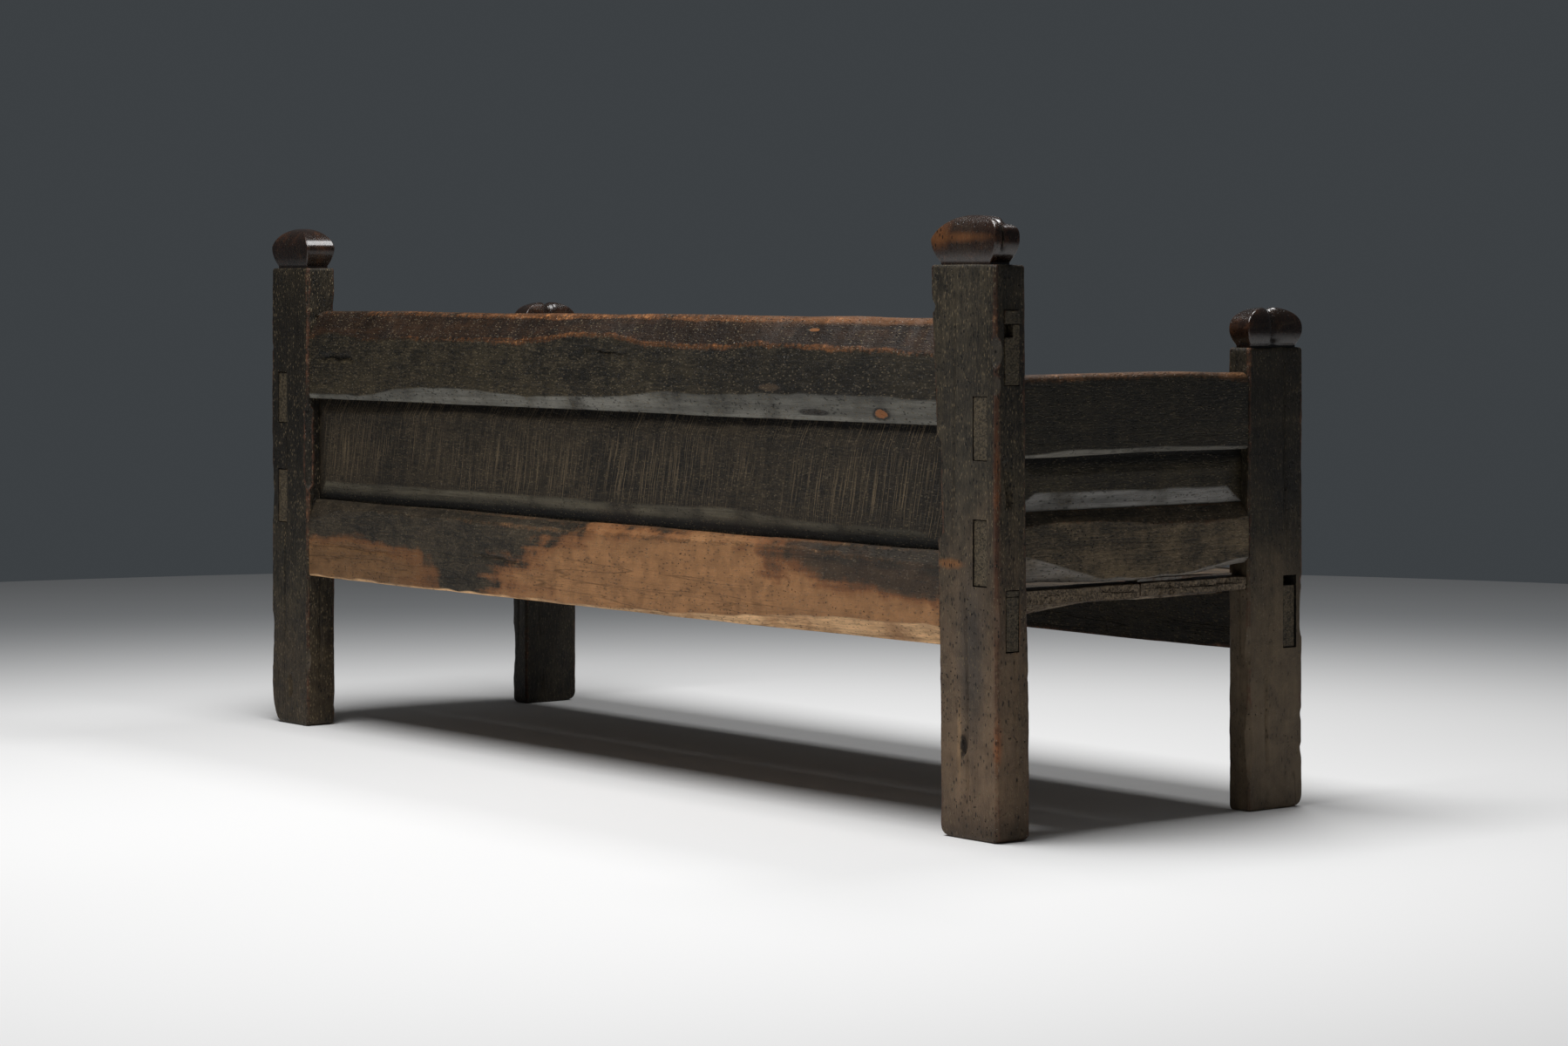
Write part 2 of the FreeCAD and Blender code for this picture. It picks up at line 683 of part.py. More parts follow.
def seat_board(label, front_y, rear_y, half_length):
    """One seat board along the bench, its long upper edges worn round."""
    board = start_body(label, 0, 0, SEAT_UNDER)
    worn = S["seat_edge_round"]
    high = S["seat_thickness"]
    corners = [(front_y, 0), (rear_y, 0), (rear_y, high - worn), (rear_y - worn, high),
               (front_y + worn, high), (front_y, high - worn)]
    section = draw_outline(sketch_on(board, "YZ_Plane", "Section"), corners, {2: worn, 4: worn})
    pad(board, section, half_length * 2)
    return board


def seat_boards():
    """Three boards: the rear one tongued into the back rail, the front one between the posts."""
    gap = S["board_gap"]
    end = HALF_LENGTH - S["front_inset"]
    rear_edge = END_REAR_Y - S["fit_gap"]
    joint = END_REAR_Y - S["rear_board_width"]
    rear = seat_board("seat_board_rear", joint, rear_edge, end)
    middle_height = S["seat_thickness"] / 2
    half = S["seat_tongue_thickness"] / 2
    rail_face = REAR_POST_Y - S["back_rail_thickness"] / 2
    tongue = box_sketch(rear, "YZ_Plane", "Tongue", (joint + gap, middle_height - half),
                        (rail_face + S["seat_tongue_length"], middle_height + half))
    pad(rear, tongue, (BACK_INSIDE - gap) * 2)
    middle_front = END_FRONT_Y + S["fit_gap"]
    middle = seat_board("seat_board_middle", middle_front, joint - gap, end)
    rebate_wall = FRONT_RAIL_Y + S["front_rail_thickness"] / 2 - S["rebate_depth"]
    front = seat_board("seat_board_front", rebate_wall + S["fit_gap"], middle_front - gap,
                       FRONT_INSIDE - gap)
    return [rear, middle, front]


def seat_bearer(label, place):
    """A bearer under the boards, riven to a taper, let into both seat rails."""
    bearer = start_body(label, S["bearer_place"] * place, 0, SEAT_UNDER)
    housing = S["bearer_housing"] - S["fit_gap"]
    rear = REAR_POST_Y - S["back_rail_thickness"] / 2 + housing
    front = FRONT_RAIL_Y + S["front_rail_thickness"] / 2 - housing
    front_low = -S["bearer_front_drop"]
    rear_low = -S["bearer_rear_drop"]
    corners = [(front, front_low), (front + housing, front_low), (rear - housing, rear_low),
               (rear, rear_low), (rear, 0), (front, 0)]
    elevation = draw_outline(sketch_on(bearer, "YZ_Plane", "Elevation"), corners)
    pad(bearer, elevation, S["bearer_width"])
    return bearer


def group(label, members):
    """Gathers separate solids of one kind into one named piece."""
    bundle = doc.addObject("Part::Compound", label)
    bundle.Label = label
    bundle.Links = members
    return bundle


def place_at(member, x, y, z):
    """Binds where a simple solid stands."""
    for axis, place in zip("xyz", (x, y, z)):
        member.setExpression(f"Placement.Base.{axis}", size(place).text)


def joint_pegs():
    """The pegs driven through the rear posts and the back rails' tenons."""
    pegs = []
    lie_along_y = FreeCAD.Rotation(FreeCAD.Vector(1, 0, 0), 90)
    stub = S["peg_stub"]
    for side in (LEFT, RIGHT):
        for height in (S["peg_top_height"], S["peg_low_height"]):
            peg = doc.addObject("Part::Cylinder", "Peg")
            peg.setExpression("Radius", S["peg_radius"].text)
            peg.setExpression("Height", (S["rear_post_depth"] - stub * 2).text)
            peg.Placement = FreeCAD.Placement(FreeCAD.Vector(), lie_along_y)
            place_at(peg, (BACK_INSIDE + S["peg_setback"]) * side, HALF_DEPTH - stub, height)
            pegs.append(peg)
    return group("joint_pegs", pegs)


def tenon_wedges():
    """The blocks driven in above the back rails' tenons from the ends of the bench."""
    wedges = []
    gap = S["fit_gap"]
    length = S["wedge_length"] - S["tenon_recess"]
    for side in (LEFT, RIGHT):
        for thickness, low, height in (
                (S["top_tenon_thickness"], S["top_tenon_high"], S["top_wedge_height"]),
                (S["low_tenon_thickness"], S["low_tenon_high"], S["low_wedge_height"])):
            block = doc.addObject("Part::Box", "Wedge")
            block.setExpression("Length", (length - gap).text)
            block.setExpression("Width", thickness.text)
            block.setExpression("Height", (height - gap * 2).text)
            inner = HALF_LENGTH - S["wedge_length"] + gap
            outer = HALF_LENGTH - S["tenon_recess"]
            place_at(block, -outer if side == LEFT else inner, BACK_LINE_Y - thickness / 2, low + gap)
            wedges.append(block)
    return group("tenon_wedges", wedges)


def build():
    """Makes every piece of the bench in the order it would be put together."""
    pieces = []
    for name, side in (("left", LEFT), ("right", RIGHT)):
        pieces.append(rear_post(f"rear_post_{name}", side))
        pieces.append(front_post(f"front_post_{name}", side))
        pieces.append(arm_rail(f"arm_rail_{name}", side))
        pieces.append(end_rail(f"end_rail_{name}", side))
        pieces.append(end_panel(f"end_panel_{name}", side))
    pieces += [back_top_rail(), back_bottom_rail(), back_panel(), front_seat_rail()]
    pieces += seat_boards()
    for name, place in (("left", LEFT), ("middle", 0), ("right", RIGHT)):
        pieces.append(seat_bearer(f"seat_bearer_{name}", place))
    pieces += [joint_pegs(), tenon_wedges()]
    return pieces


def check(pieces):
    """Stops the build if any feature failed or any piece has no sound shape."""
    doc.recompute()
    for feature in doc.Objects:
        if "Invalid" in feature.State or "Error" in feature.State:
            raise RuntimeError(f"{feature.Label} failed: {feature.State}")
    for piece in pieces:
        if piece.Shape.isNull() or not piece.Shape.isValid():
            raise RuntimeError(f"{piece.Label} has no sound shape")


def export(pieces):
    """Writes each piece to its own file."""
    os.makedirs("parts", exist_ok=True)
    for piece in pieces:
        piece.Shape.exportStep(f"parts/{piece.Label}.step")
        print(f"{piece.Label}: {len(piece.Shape.Solids)} solid, {piece.Shape.Volume / 1000:.0f} cm3")


bench = build()
check(bench)
export(bench)
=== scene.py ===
"""Dressed model of a rustic panelled wooden bench.

Every timber is swept from its own section, hewn, worn and cut for its joints, and gets a waxed,
weathered or scuffed wood finish, with painted shade, painted shadows, painted sheen and painted
floor light in places. All lengths are in metres. X runs along the seat, the back is on the +Y side,
Z is up, and left and right are as seen from the front.
"""

import logging
import math
from dataclasses import dataclass, field, replace
from enum import Enum, IntEnum

import bmesh
import bpy
import numpy as np
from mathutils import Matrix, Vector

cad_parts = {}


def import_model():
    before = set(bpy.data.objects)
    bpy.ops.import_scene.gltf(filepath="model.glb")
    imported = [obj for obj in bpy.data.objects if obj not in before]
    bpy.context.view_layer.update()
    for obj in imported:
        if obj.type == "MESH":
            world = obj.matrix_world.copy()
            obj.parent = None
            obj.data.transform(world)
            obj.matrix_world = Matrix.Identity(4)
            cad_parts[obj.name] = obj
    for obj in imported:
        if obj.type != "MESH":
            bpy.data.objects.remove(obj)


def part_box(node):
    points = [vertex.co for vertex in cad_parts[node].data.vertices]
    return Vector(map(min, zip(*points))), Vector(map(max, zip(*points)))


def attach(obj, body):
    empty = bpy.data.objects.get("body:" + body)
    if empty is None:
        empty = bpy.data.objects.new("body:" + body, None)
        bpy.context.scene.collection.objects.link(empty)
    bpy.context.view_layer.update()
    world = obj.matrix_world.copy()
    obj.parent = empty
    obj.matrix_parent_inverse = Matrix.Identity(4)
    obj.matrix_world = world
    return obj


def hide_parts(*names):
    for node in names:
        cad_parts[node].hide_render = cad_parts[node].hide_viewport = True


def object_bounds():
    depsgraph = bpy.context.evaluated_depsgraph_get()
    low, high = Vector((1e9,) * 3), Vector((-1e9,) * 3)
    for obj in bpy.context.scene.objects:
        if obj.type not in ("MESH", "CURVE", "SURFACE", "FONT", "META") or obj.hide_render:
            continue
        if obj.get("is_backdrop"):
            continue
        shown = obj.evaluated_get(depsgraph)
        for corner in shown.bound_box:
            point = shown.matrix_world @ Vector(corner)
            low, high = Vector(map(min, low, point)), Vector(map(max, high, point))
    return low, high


LOG = logging.getLogger("bench")

TINY = 1e-7
WELD = 1e-8
ARC_POINTS = 5
EDGE_REACH = 0.0045
WAVE = 0.0012
RIPPLE = 0.0004
CAP_RINGS = (0.12, 0.35, 0.62, 0.86)
SMOOTH_ANGLE = math.radians(42)
STATION_STEP = 0.004
LAST_GAP = 0.002
ROUNDING_SHARE = 0.46
FOOT_STEPS = (0.0, 0.0012, 0.0035, 0.007)
SHOULDER_STEPS = (0.005, 0.0025, 0.0008, 0.0)
END_SOFTNESS = (0.0034, 0.0018, 0.0006, 0.0)
FULL_STATION = -5
TENON_STATIONS = 3
TENON_BEVEL = 0.0012
TENON_TRIM = (0.0008, 0.0, 0.0)
TENON_ROUNDING = 0.0005
LEAST_CUT = 0.0006
DEEPEST_CUT = 0.04
RAIL_ROUNDING = 0.0018
SENSOR_WIDTH = 36.0
FAR_CLIP = 200.0

Colour = tuple[float, float, float]
Place = tuple[float, float, float]
Pair = tuple[float, float]
Line = tuple[Pair, ...]
Array = np.ndarray
Socket = bpy.types.NodeSocket
Node = bpy.types.Node
Tree = bpy.types.NodeTree
Object = bpy.types.Object
Material = bpy.types.Material


class Axis(Enum):
    """The direction in which the grain of a timber runs."""

    ALONG = 0
    ACROSS = 1
    UP = 2

    @property
    def section(self) -> tuple[int, int]:
        """The two directions in which a section of the timber is drawn."""
        return {0: (1, 2), 1: (0, 2), 2: (0, 1)}[self.value]

    def stretched(self, share: float) -> Place:
        """Scales for a pattern that is drawn out along the grain, to that share of its density."""
        return tuple(share if number == self.value else 1.0 for number in range(3))


class Corner(IntEnum):
    """The corners of a section: near and far in its first direction, low and high in its second."""

    NEAR_LOW = 0
    FAR_LOW = 1
    FAR_HIGH = 2
    NEAR_HIGH = 3


class Side(IntEnum):
    """The sides of a section with four cut corners, in their order round it."""

    NEAR_LOW_CORNER = 0
    LOW = 1
    FAR_LOW_CORNER = 2
    FAR = 3
    FAR_HIGH_CORNER = 4
    HIGH = 5
    NEAR_HIGH_CORNER = 6
    NEAR = 7


SIDES = len(Side)


class Zone(Enum):
    """Parts of a timber's surface that its finish treats apart; each is a mesh attribute."""

    EDGE = "edge"
    WANE = "wane"
    # Pale raw wood, and painted floor light on faces that look down.
    SILVER = "silver"
    CARVED = "carved"
    END_GRAIN = "end_grain"


class End(Enum):
    """The two ends of the bench, with the sign of X on that side."""

    LEFT = -1
    RIGHT = 1

    @property
    def word(self) -> str:
        """The end's name as the node names write it."""
        return self.name.lower()


class Wander:
    """Smooth seeded wandering between -1 and 1, for hewn lines and worn surfaces."""

    def __init__(self, seed: int) -> None:
        """Starts the numbers from a fixed seed."""
        self.numbers = np.random.default_rng(seed)

    def line(self, places: Array, step: float) -> Array:
        """Wanders along a line.

        Args:
            places: Places along the line.
            step: Distance between two turns.

        Returns:
            One value for each place.
        """
        grid = (places - places.min()) / step
        cell = np.floor(grid).astype(int)
        knots = self.numbers.uniform(-1.0, 1.0, int(cell.max()) + 2)
        part = grid - cell
        ease = part * part * (3.0 - 2.0 * part)
        return knots[cell] * (1.0 - ease) + knots[cell + 1] * ease

    def bites(self, places: Array, step: float, share: float) -> Array:
        """Bites out of a share of a line: 0 where it is whole, up to 1 in the middle of a bite."""
        level = 1.0 - 2.0 * share
        return np.clip((self.line(places, step) - level) / (1.0 - level + TINY), 0.0, 1.0)


def flowing(places: Array, points: Line, soft: int = 9) -> Array:
    """Runs a smooth line through a few points.

    Args:
        places: Places along the line.
        points: The places and values that it passes by, in order.
        soft: Number of neighbours that it is evened out over.

    Returns:
        One value for each place.
    """
    known, values = zip(*points)
    straight = np.interp(places, known, values)
    padded = np.pad(straight, soft, mode="edge")
    return np.convolve(padded, np.ones(2 * soft + 1) / (2 * soft + 1), mode="valid")


@dataclass(frozen=True)
class Groove:
    """A drying check or split along one side of a timber."""

    side: int
    start: float
    end: float
    across: float
    width: float = 0.003
    depth: float = 0.003
    drift: float = 0.0


@dataclass(frozen=True)
class Bite:
    """A chip knocked out of one arris of a timber."""

    corner: Corner
    place: float
    length: float
    depth: float


@dataclass(frozen=True)
class Cleft:
    """A soft valley carved over a finial, or a step down to a broken lobe of it."""

    point: Pair
    across: Pair
    width: float
    squeeze: float
    drop: float
    heights: Pair
    stepped: bool = False

    def press(self, points: Array) -> None:
        """Presses the cleft into the points of a post, in place.

        Args:
            points: The points.
        """
        foot, top = self.heights
        rise = np.clip((points[:, 2] - foot) / (top - foot), 0.0, 1.0)
        away = (points[:, :2] - np.array(self.point)) @ np.array(self.across) / self.width
        valley = 1.0 / (1.0 + np.exp(np.clip(4.0 * away, -40.0, 40.0))) if self.stepped else np.exp(-away * away)
        pressed = self.squeeze * valley * np.clip(rise * 5.0, 0.0, 1.0)
        points[:, 0] += (self.point[0] - points[:, 0]) * pressed
        points[:, 2] -= self.drop * valley * rise ** 3


@dataclass
class Timber:
    """A section carried along a timber: its outline may change at every station."""

    axis: Axis
    stations: Array
    corners: Array
    rounding: Array | float
    spacing: float = 0.0034
    zones: dict[Zone, Array] = field(default_factory=dict)
    grooves: tuple[Groove, ...] = ()
    ragged: Pair = (0.0, 0.0)
    clefts: tuple[Cleft, ...] = ()
    rubbed: Array = field(default_factory=lambda: np.ones(SIDES))
    mirrored: bool = False
    seed: int = 1

    def piece(self, name: str) -> Object:
        """Sweeps the section into a closed object.

        Args:
            name: The object's name.

        Returns:
            The object, in the bench's frame, with the zones as mesh attributes.
        """
        rings, masks = self.rings()
        count, around = rings.shape[:2]
        shift, thinned = self.torn_ends(rings)
        along = self.stations[:, None] + shift
        middle = (rings[..., 1].min(axis=1) + rings[..., 1].max(axis=1))[:, None] / 2.0
        rings[..., 1] += (middle - rings[..., 1]) * thinned
        points = [self.placed(along, rings)]
        quads = [ring_quads(np.arange(count * around).reshape(count, around))]
        values = {zone: [mask.ravel()] for zone, mask in masks.items()}
        caps: list[list[int]] = []
        used = count * around
        for end in (0, count - 1):
            chain = [np.arange(end * around, (end + 1) * around)]
            for step in CAP_RINGS:
                points.append(self.placed(along[end][None], shrunk(rings[end], step)[None]))
                chain.append(np.arange(used, used + around))
                used += around
                for zone in values:
                    inside = np.full(around, 1.0 if zone is Zone.END_GRAIN else 0.0)
                    values[zone].append(masks[zone][end] if zone is Zone.CARVED else inside)
            quads.append(ring_quads(np.stack(chain if end else chain[::-1])))
            caps.append(chain[-1].tolist() if end else chain[-1][::-1].tolist())
        whole, faces = np.concatenate(points), np.concatenate(quads)
        for cleft in self.clefts:
            cleft.press(whole)
        if self.mirrored:
            whole[:, 0] *= -1.0
        a, b, c, d = (whole[faces[:, corner]] for corner in range(4))
        if np.einsum("ij,ij->", np.cross(b - a, c - a) + np.cross(c - a, d - a), a) < 0.0:
            faces, caps = faces[:, ::-1], [cap[::-1] for cap in caps]
        mesh = bpy.data.meshes.new(name)
        mesh.from_pydata(whole.tolist(), [], faces.tolist() + caps)
        for zone in Zone:
            attribute = mesh.attributes.new(zone.value, "FLOAT", "POINT")
            attribute.data.foreach_set("value", np.concatenate(values[zone]))
        return linked(name, mesh)

    def rings(self) -> tuple[Array, dict[Zone, Array]]:
        """Rounds the section's corners and sets points along its sides.

        Returns:
            The points of every ring in section directions, and the zones' masks on them.
        """
        corners = self.corners
        count, sides = corners.shape[:2]
        back = np.roll(corners, 1, axis=1) - corners
        ahead = np.roll(corners, -1, axis=1) - corners
        back_length = np.linalg.norm(back, axis=2) + TINY
        ahead_length = np.linalg.norm(ahead, axis=2) + TINY
        cut = np.minimum(self.rounding, ROUNDING_SHARE * np.minimum(back_length, ahead_length))
        enter = corners + back * (cut / back_length)[..., None]
        leave = corners + ahead * (cut / ahead_length)[..., None]
        turn = np.linspace(0.0, 1.0, ARC_POINTS)
        parts, edges = [], []
        blends: dict[Zone, list[Array]] = {zone: [] for zone in Zone if zone is not Zone.EDGE}
        rubbed = np.broadcast_to(self.rubbed[:sides] if self.rubbed.ndim == 1 else self.rubbed, (count, sides))
        for side in range(sides):
            arc = (enter[:, side, None] * ((1 - turn) ** 2)[None, :, None]
                   + corners[:, side, None] * (2 * turn * (1 - turn))[None, :, None]
                   + leave[:, side, None] * (turn ** 2)[None, :, None])
            run = enter[:, (side + 1) % sides] - leave[:, side]
            length = np.linalg.norm(run, axis=1)
            number = max(1, int(length.max() / self.spacing))
            share = (np.arange(number) + 1.0) / (number + 1.0)
            straight = leave[:, side, None] + run[:, None] * share[None, :, None]
            straight = self.grooved(side, straight)
            parts += [arc, straight]
            first, last = rubbed[:, [side]], rubbed[:, [(side + 1) % sides]]
            near_first, near_last = (np.exp(-part[None] * length[:, None] / EDGE_REACH) for part in (share, 1 - share))
            edges += [np.repeat(first, ARC_POINTS, axis=1), np.maximum(first * near_first, last * near_last)]
            for zone, blend in blends.items():
                value = np.broadcast_to(self.zones.get(zone, np.zeros(sides)), (count, sides))
                blend.append(value[:, side - 1, None] * (1 - turn) + value[:, side, None] * turn)
                blend.append(np.repeat(value[:, side, None], number, axis=1))
        masks = {zone: np.concatenate(blend, axis=1) for zone, blend in blends.items()}
        masks[Zone.EDGE] = np.concatenate(edges, axis=1)
        return np.concatenate(parts, axis=1), masks

    def grooved(self, side: int, straight: Array) -> Array:
        """Sinks this side's grooves.

        Args:
            side: The side's number.
            straight: The points along it, at every station.

        Returns:
            The points, moved inwards in the grooves.
        """
        inward = {Side.LOW: (0, 1), Side.FAR: (-1, 0), Side.HIGH: (0, -1), Side.NEAR: (1, 0)}
        for number, groove in enumerate(self.grooves):
            if groove.side != side:
                continue
            reach = (self.stations - groove.start) / (groove.end - groove.start)
            taper = np.sqrt(np.clip(4.0 * reach * (1.0 - reach), 0.0, 1.0))
            wiggle = Wander(self.seed * 31 + number).line(self.stations, 0.02)
            middle = groove.across + groove.drift * (reach - 0.5) + wiggle * groove.width * 0.5
            direction = 1 if side in (Side.FAR, Side.NEAR) else 0
            away = np.abs(straight[..., direction] - middle[:, None]) / groove.width
            sunk = groove.depth * taper[:, None] * np.clip(1.0 - away * away, 0.0, 1.0)
            straight = straight + sunk[..., None] * np.array(inward[Side(side)], dtype=float)
        return straight

    def torn_ends(self, rings: Array) -> tuple[Array, Array]:
        """Shortens and thins the ends unevenly where they are torn.

        Args:
            rings: The points of every ring.

        Returns:
            How far each point moves along the timber, and its share of the way to the middle.
        """
        shift = np.zeros(rings.shape[:2])
        thinned = np.zeros(rings.shape[:2])
        for end, depth, sign in ((0, self.ragged[0], 1.0), (-1, self.ragged[1], -1.0)):
            if depth <= 0.0:
                continue
            wander = Wander(self.seed * 17 + end + 2)
            ring = rings[end]
            tear = wander.line(ring[:, 0], 0.035) * 0.5 + wander.line(ring[:, 0], 0.007) * 0.3
            fade = np.clip(1.0 - np.abs(self.stations - self.stations[end]) / 0.03, 0.0, 1.0)
            shift += sign * depth * fade[:, None] * (tear - tear.min())[None]
            worn = wander.line(ring[:, 0], 0.06) * 0.6 + wander.line(ring[:, 0], 0.01) * 0.4
            thinned += 9.0 * depth * fade[:, None] * (worn - worn.min())[None]
        return shift, thinned

    def tenoned(self, first: "Tenon", last: "Tenon") -> "Timber":
        """Adds a tenon at both ends.

        Args:
            first: Tenon at the first station.
            last: Tenon at the last station.

        Returns:
            The longer timber.
        """
        sides = self.corners.shape[1]
        start, start_corners = first.sections(self.stations[0], sides)
        stop, stop_corners = last.sections(self.stations[-1], sides)
        fine = np.full((TENON_STATIONS, sides), TENON_ROUNDING)
        return replace(self, stations=np.concatenate([start, self.stations, stop[::-1]]),
                       corners=np.concatenate([start_corners, self.corners, stop_corners[::-1]]),
                       rounding=np.concatenate([fine, self.rounding, fine]))

    def placed(self, along: Array, rings: Array) -> Array:
        """Turns section points into points of the bench.

        Args:
            along: Places along the timber.
            rings: The points in section directions.

        Returns:
            An array of points.
        """
        points = np.empty(along.shape + (3,))
        points[..., self.axis.value] = along
        first, second = self.axis.section
        points[..., first] = rings[..., 0]
        points[..., second] = rings[..., 1]
        return points.reshape(-1, 3)


def ring_quads(index: Array) -> Array:
    """Joins neighbouring rings with faces; each row of the index numbers the points of a ring."""
    after = np.roll(index, -1, axis=1)
    return np.stack([index[:-1], after[:-1], after[1:], index[1:]], axis=-1).reshape(-1, 4)


def shrunk(ring: Array, step: float) -> Array:
    """Draws a ring inwards for an end face.

    Args:
        ring: The ring's points.
        step: Share of the shorter half width, from 0 to 1.

    Returns:
        The smaller ring.
    """
    middle = (ring.max(axis=0) + ring.min(axis=0)) / 2.0
    half = (ring.max(axis=0) - ring.min(axis=0)) / 2.0
    return middle + (ring - middle) * (1.0 - step * half.min() / half)


def stepped(start: float, end: float, step: float = STATION_STEP) -> Array:
    """Stations in even steps, with the last one at the end."""
    return np.append(np.arange(start, end - LAST_GAP, step), end)


def outlined(points: list[tuple]) -> Array:
    """Stacks points, whose parts are numbers or lines of them, into the section at every station."""
    parts = np.broadcast_arrays(*(part for point in points for part in point))
    return np.stack(parts, axis=1).reshape(len(parts[0]), -1, 2)


def cut_corners(near: object, bottom: object, far: object, top: object, legs: Array) -> Array:
    """Draws a rectangle with its four corners cut off.

    Args:
        near: Its near side; each side is one number, or a line of them.
        bottom: Its low side.
        far: Its far side.
        top: Its high side.
        legs: Both legs of every corner's cut, at every station.

    Returns:
        Eight points for every station, in order round the section.
    """
    across, upward = legs[..., 0].T, legs[..., 1].T
    return outlined([
        (near, bottom + upward[Corner.NEAR_LOW]), (near + across[Corner.NEAR_LOW], bottom),
        (far - across[Corner.FAR_LOW], bottom), (far, bottom + upward[Corner.FAR_LOW]),
        (far, top - upward[Corner.FAR_HIGH]), (far - across[Corner.FAR_HIGH], top),
        (near + across[Corner.NEAR_HIGH], top), (near, top - upward[Corner.NEAR_HIGH])])


def worn_legs(stations: Array, wander: Wander, worn: float, chipped: float,
              bites: tuple[Bite, ...] = ()) -> Array:
    """Wears the four arrises of a timber.

    Args:
        stations: Places along the timber.
        wander: The seeded wandering to use.
        worn: Usual size of a worn arris.
        chipped: Depth of the deepest chips.
        bites: Chips at known places.

    Returns:
        Both legs of every corner's cut, at every station.
    """
    legs = np.empty((len(stations), 4, 2))
    for corner in Corner:
        chip = chipped * wander.bites(stations, 0.018, 0.3) * wander.bites(stations, 0.11, 0.45)
        for bite in bites:
            if bite.corner is corner:
                away = np.abs(stations - bite.place) / bite.length
                chip = np.maximum(chip, bite.depth * np.sqrt(np.clip(1.0 - away * away, 0.0, 1.0)))
        for leg in range(2):
            ripple = 1.0 + 0.35 * wander.line(stations, 0.06) + 0.2 * wander.line(stations, 0.012)
            legs[:, corner, leg] = worn * ripple + chip * (0.8 + 0.3 * wander.line(stations, 0.03))
    return np.maximum(legs, LEAST_CUT)


def block(axis: Axis, start: float, end: float, low: Pair, high: Pair,
          seed: int, slack: float = 0.0, wobble: float = 0.0, soft: float = 0.0008) -> Timber:
    """A short hand-cut block, or the tool that cuts a socket of that size.

    Args:
        axis: Direction it runs in.
        start: Where it starts.
        end: Where it ends.
        low: Lowest point of its section.
        high: Highest point of its section.
        seed: Seed of its unevenness.
        slack: How much it grows on every side.
        wobble: How uneven its faces are.
        soft: Rounding of its edges.

    Returns:
        The block.
    """
    wander = Wander(seed)
    stations = np.linspace(start, end, 9)
    near, bottom = low[0] - slack, low[1] - slack
    far, top = high[0] + slack, high[1] + slack
    rectangle = np.array([(near, bottom), (far, bottom), (far, top), (near, top)])
    corners = np.repeat(rectangle[None], len(stations), axis=0)
    for corner in range(4):
        for direction in range(2):
            corners[:, corner, direction] += wobble * wander.line(stations, abs(end - start) / 3.0)
    return Timber(axis, stations, corners, soft, spacing=0.011, seed=seed)


def linked(name: str, data: bpy.types.ID) -> Object:
    """Makes an object of a mesh, a lamp or a camera, and puts it in the scene.

    Args:
        name: The object's name.
        data: What it is made of.

    Returns:
        The object.
    """
    thing = bpy.data.objects.new(name, data)
    bpy.context.scene.collection.objects.link(thing)
    return thing


def discard(piece: Object) -> None:
    """Takes an object and its mesh away.

    Args:
        piece: The object.
    """
    waste = piece.data
    bpy.data.objects.remove(piece)
    bpy.data.meshes.remove(waste)


def made_plain(piece: Object) -> None:
    """Turns a piece's modifiers into a plain mesh and removes them.

    Args:
        piece: The object.
    """
    graph = bpy.context.evaluated_depsgraph_get()
    mesh = bpy.data.meshes.new_from_object(piece.evaluated_get(graph))
    old = piece.data
    piece.modifiers.clear()
    piece.data = mesh
    bpy.data.meshes.remove(old)
    mesh.name = piece.name


def welded(parts: list[Object]) -> None:
    """Joins the parts of a piece and clears the hair-thin faces that a cut leaves.

    Args:
        parts: The piece, and what is added to it.
    """
    shell = bmesh.new()
    for part in parts:
        shell.from_mesh(part.data)
    for part in parts[1:]:
        discard(part)
    bmesh.ops.remove_doubles(shell, verts=shell.verts, dist=WELD)
    bmesh.ops.triangulate(shell, faces=[face for face in shell.faces if len(face.verts) > 4])
    twins: dict[frozenset, list[bmesh.types.BMFace]] = {}
    for face in shell.faces:
        twins.setdefault(frozenset(face.verts), []).append(face)
    folded = [face for pair in twins.values() if len(pair) > 1 for face in pair]
    bmesh.ops.delete(shell, geom=folded, context="FACES")
    bmesh.ops.holes_fill(shell, edges=[edge for edge in shell.edges if len(edge.link_faces) == 1])
    shell.to_mesh(parts[0].data)
    shell.free()


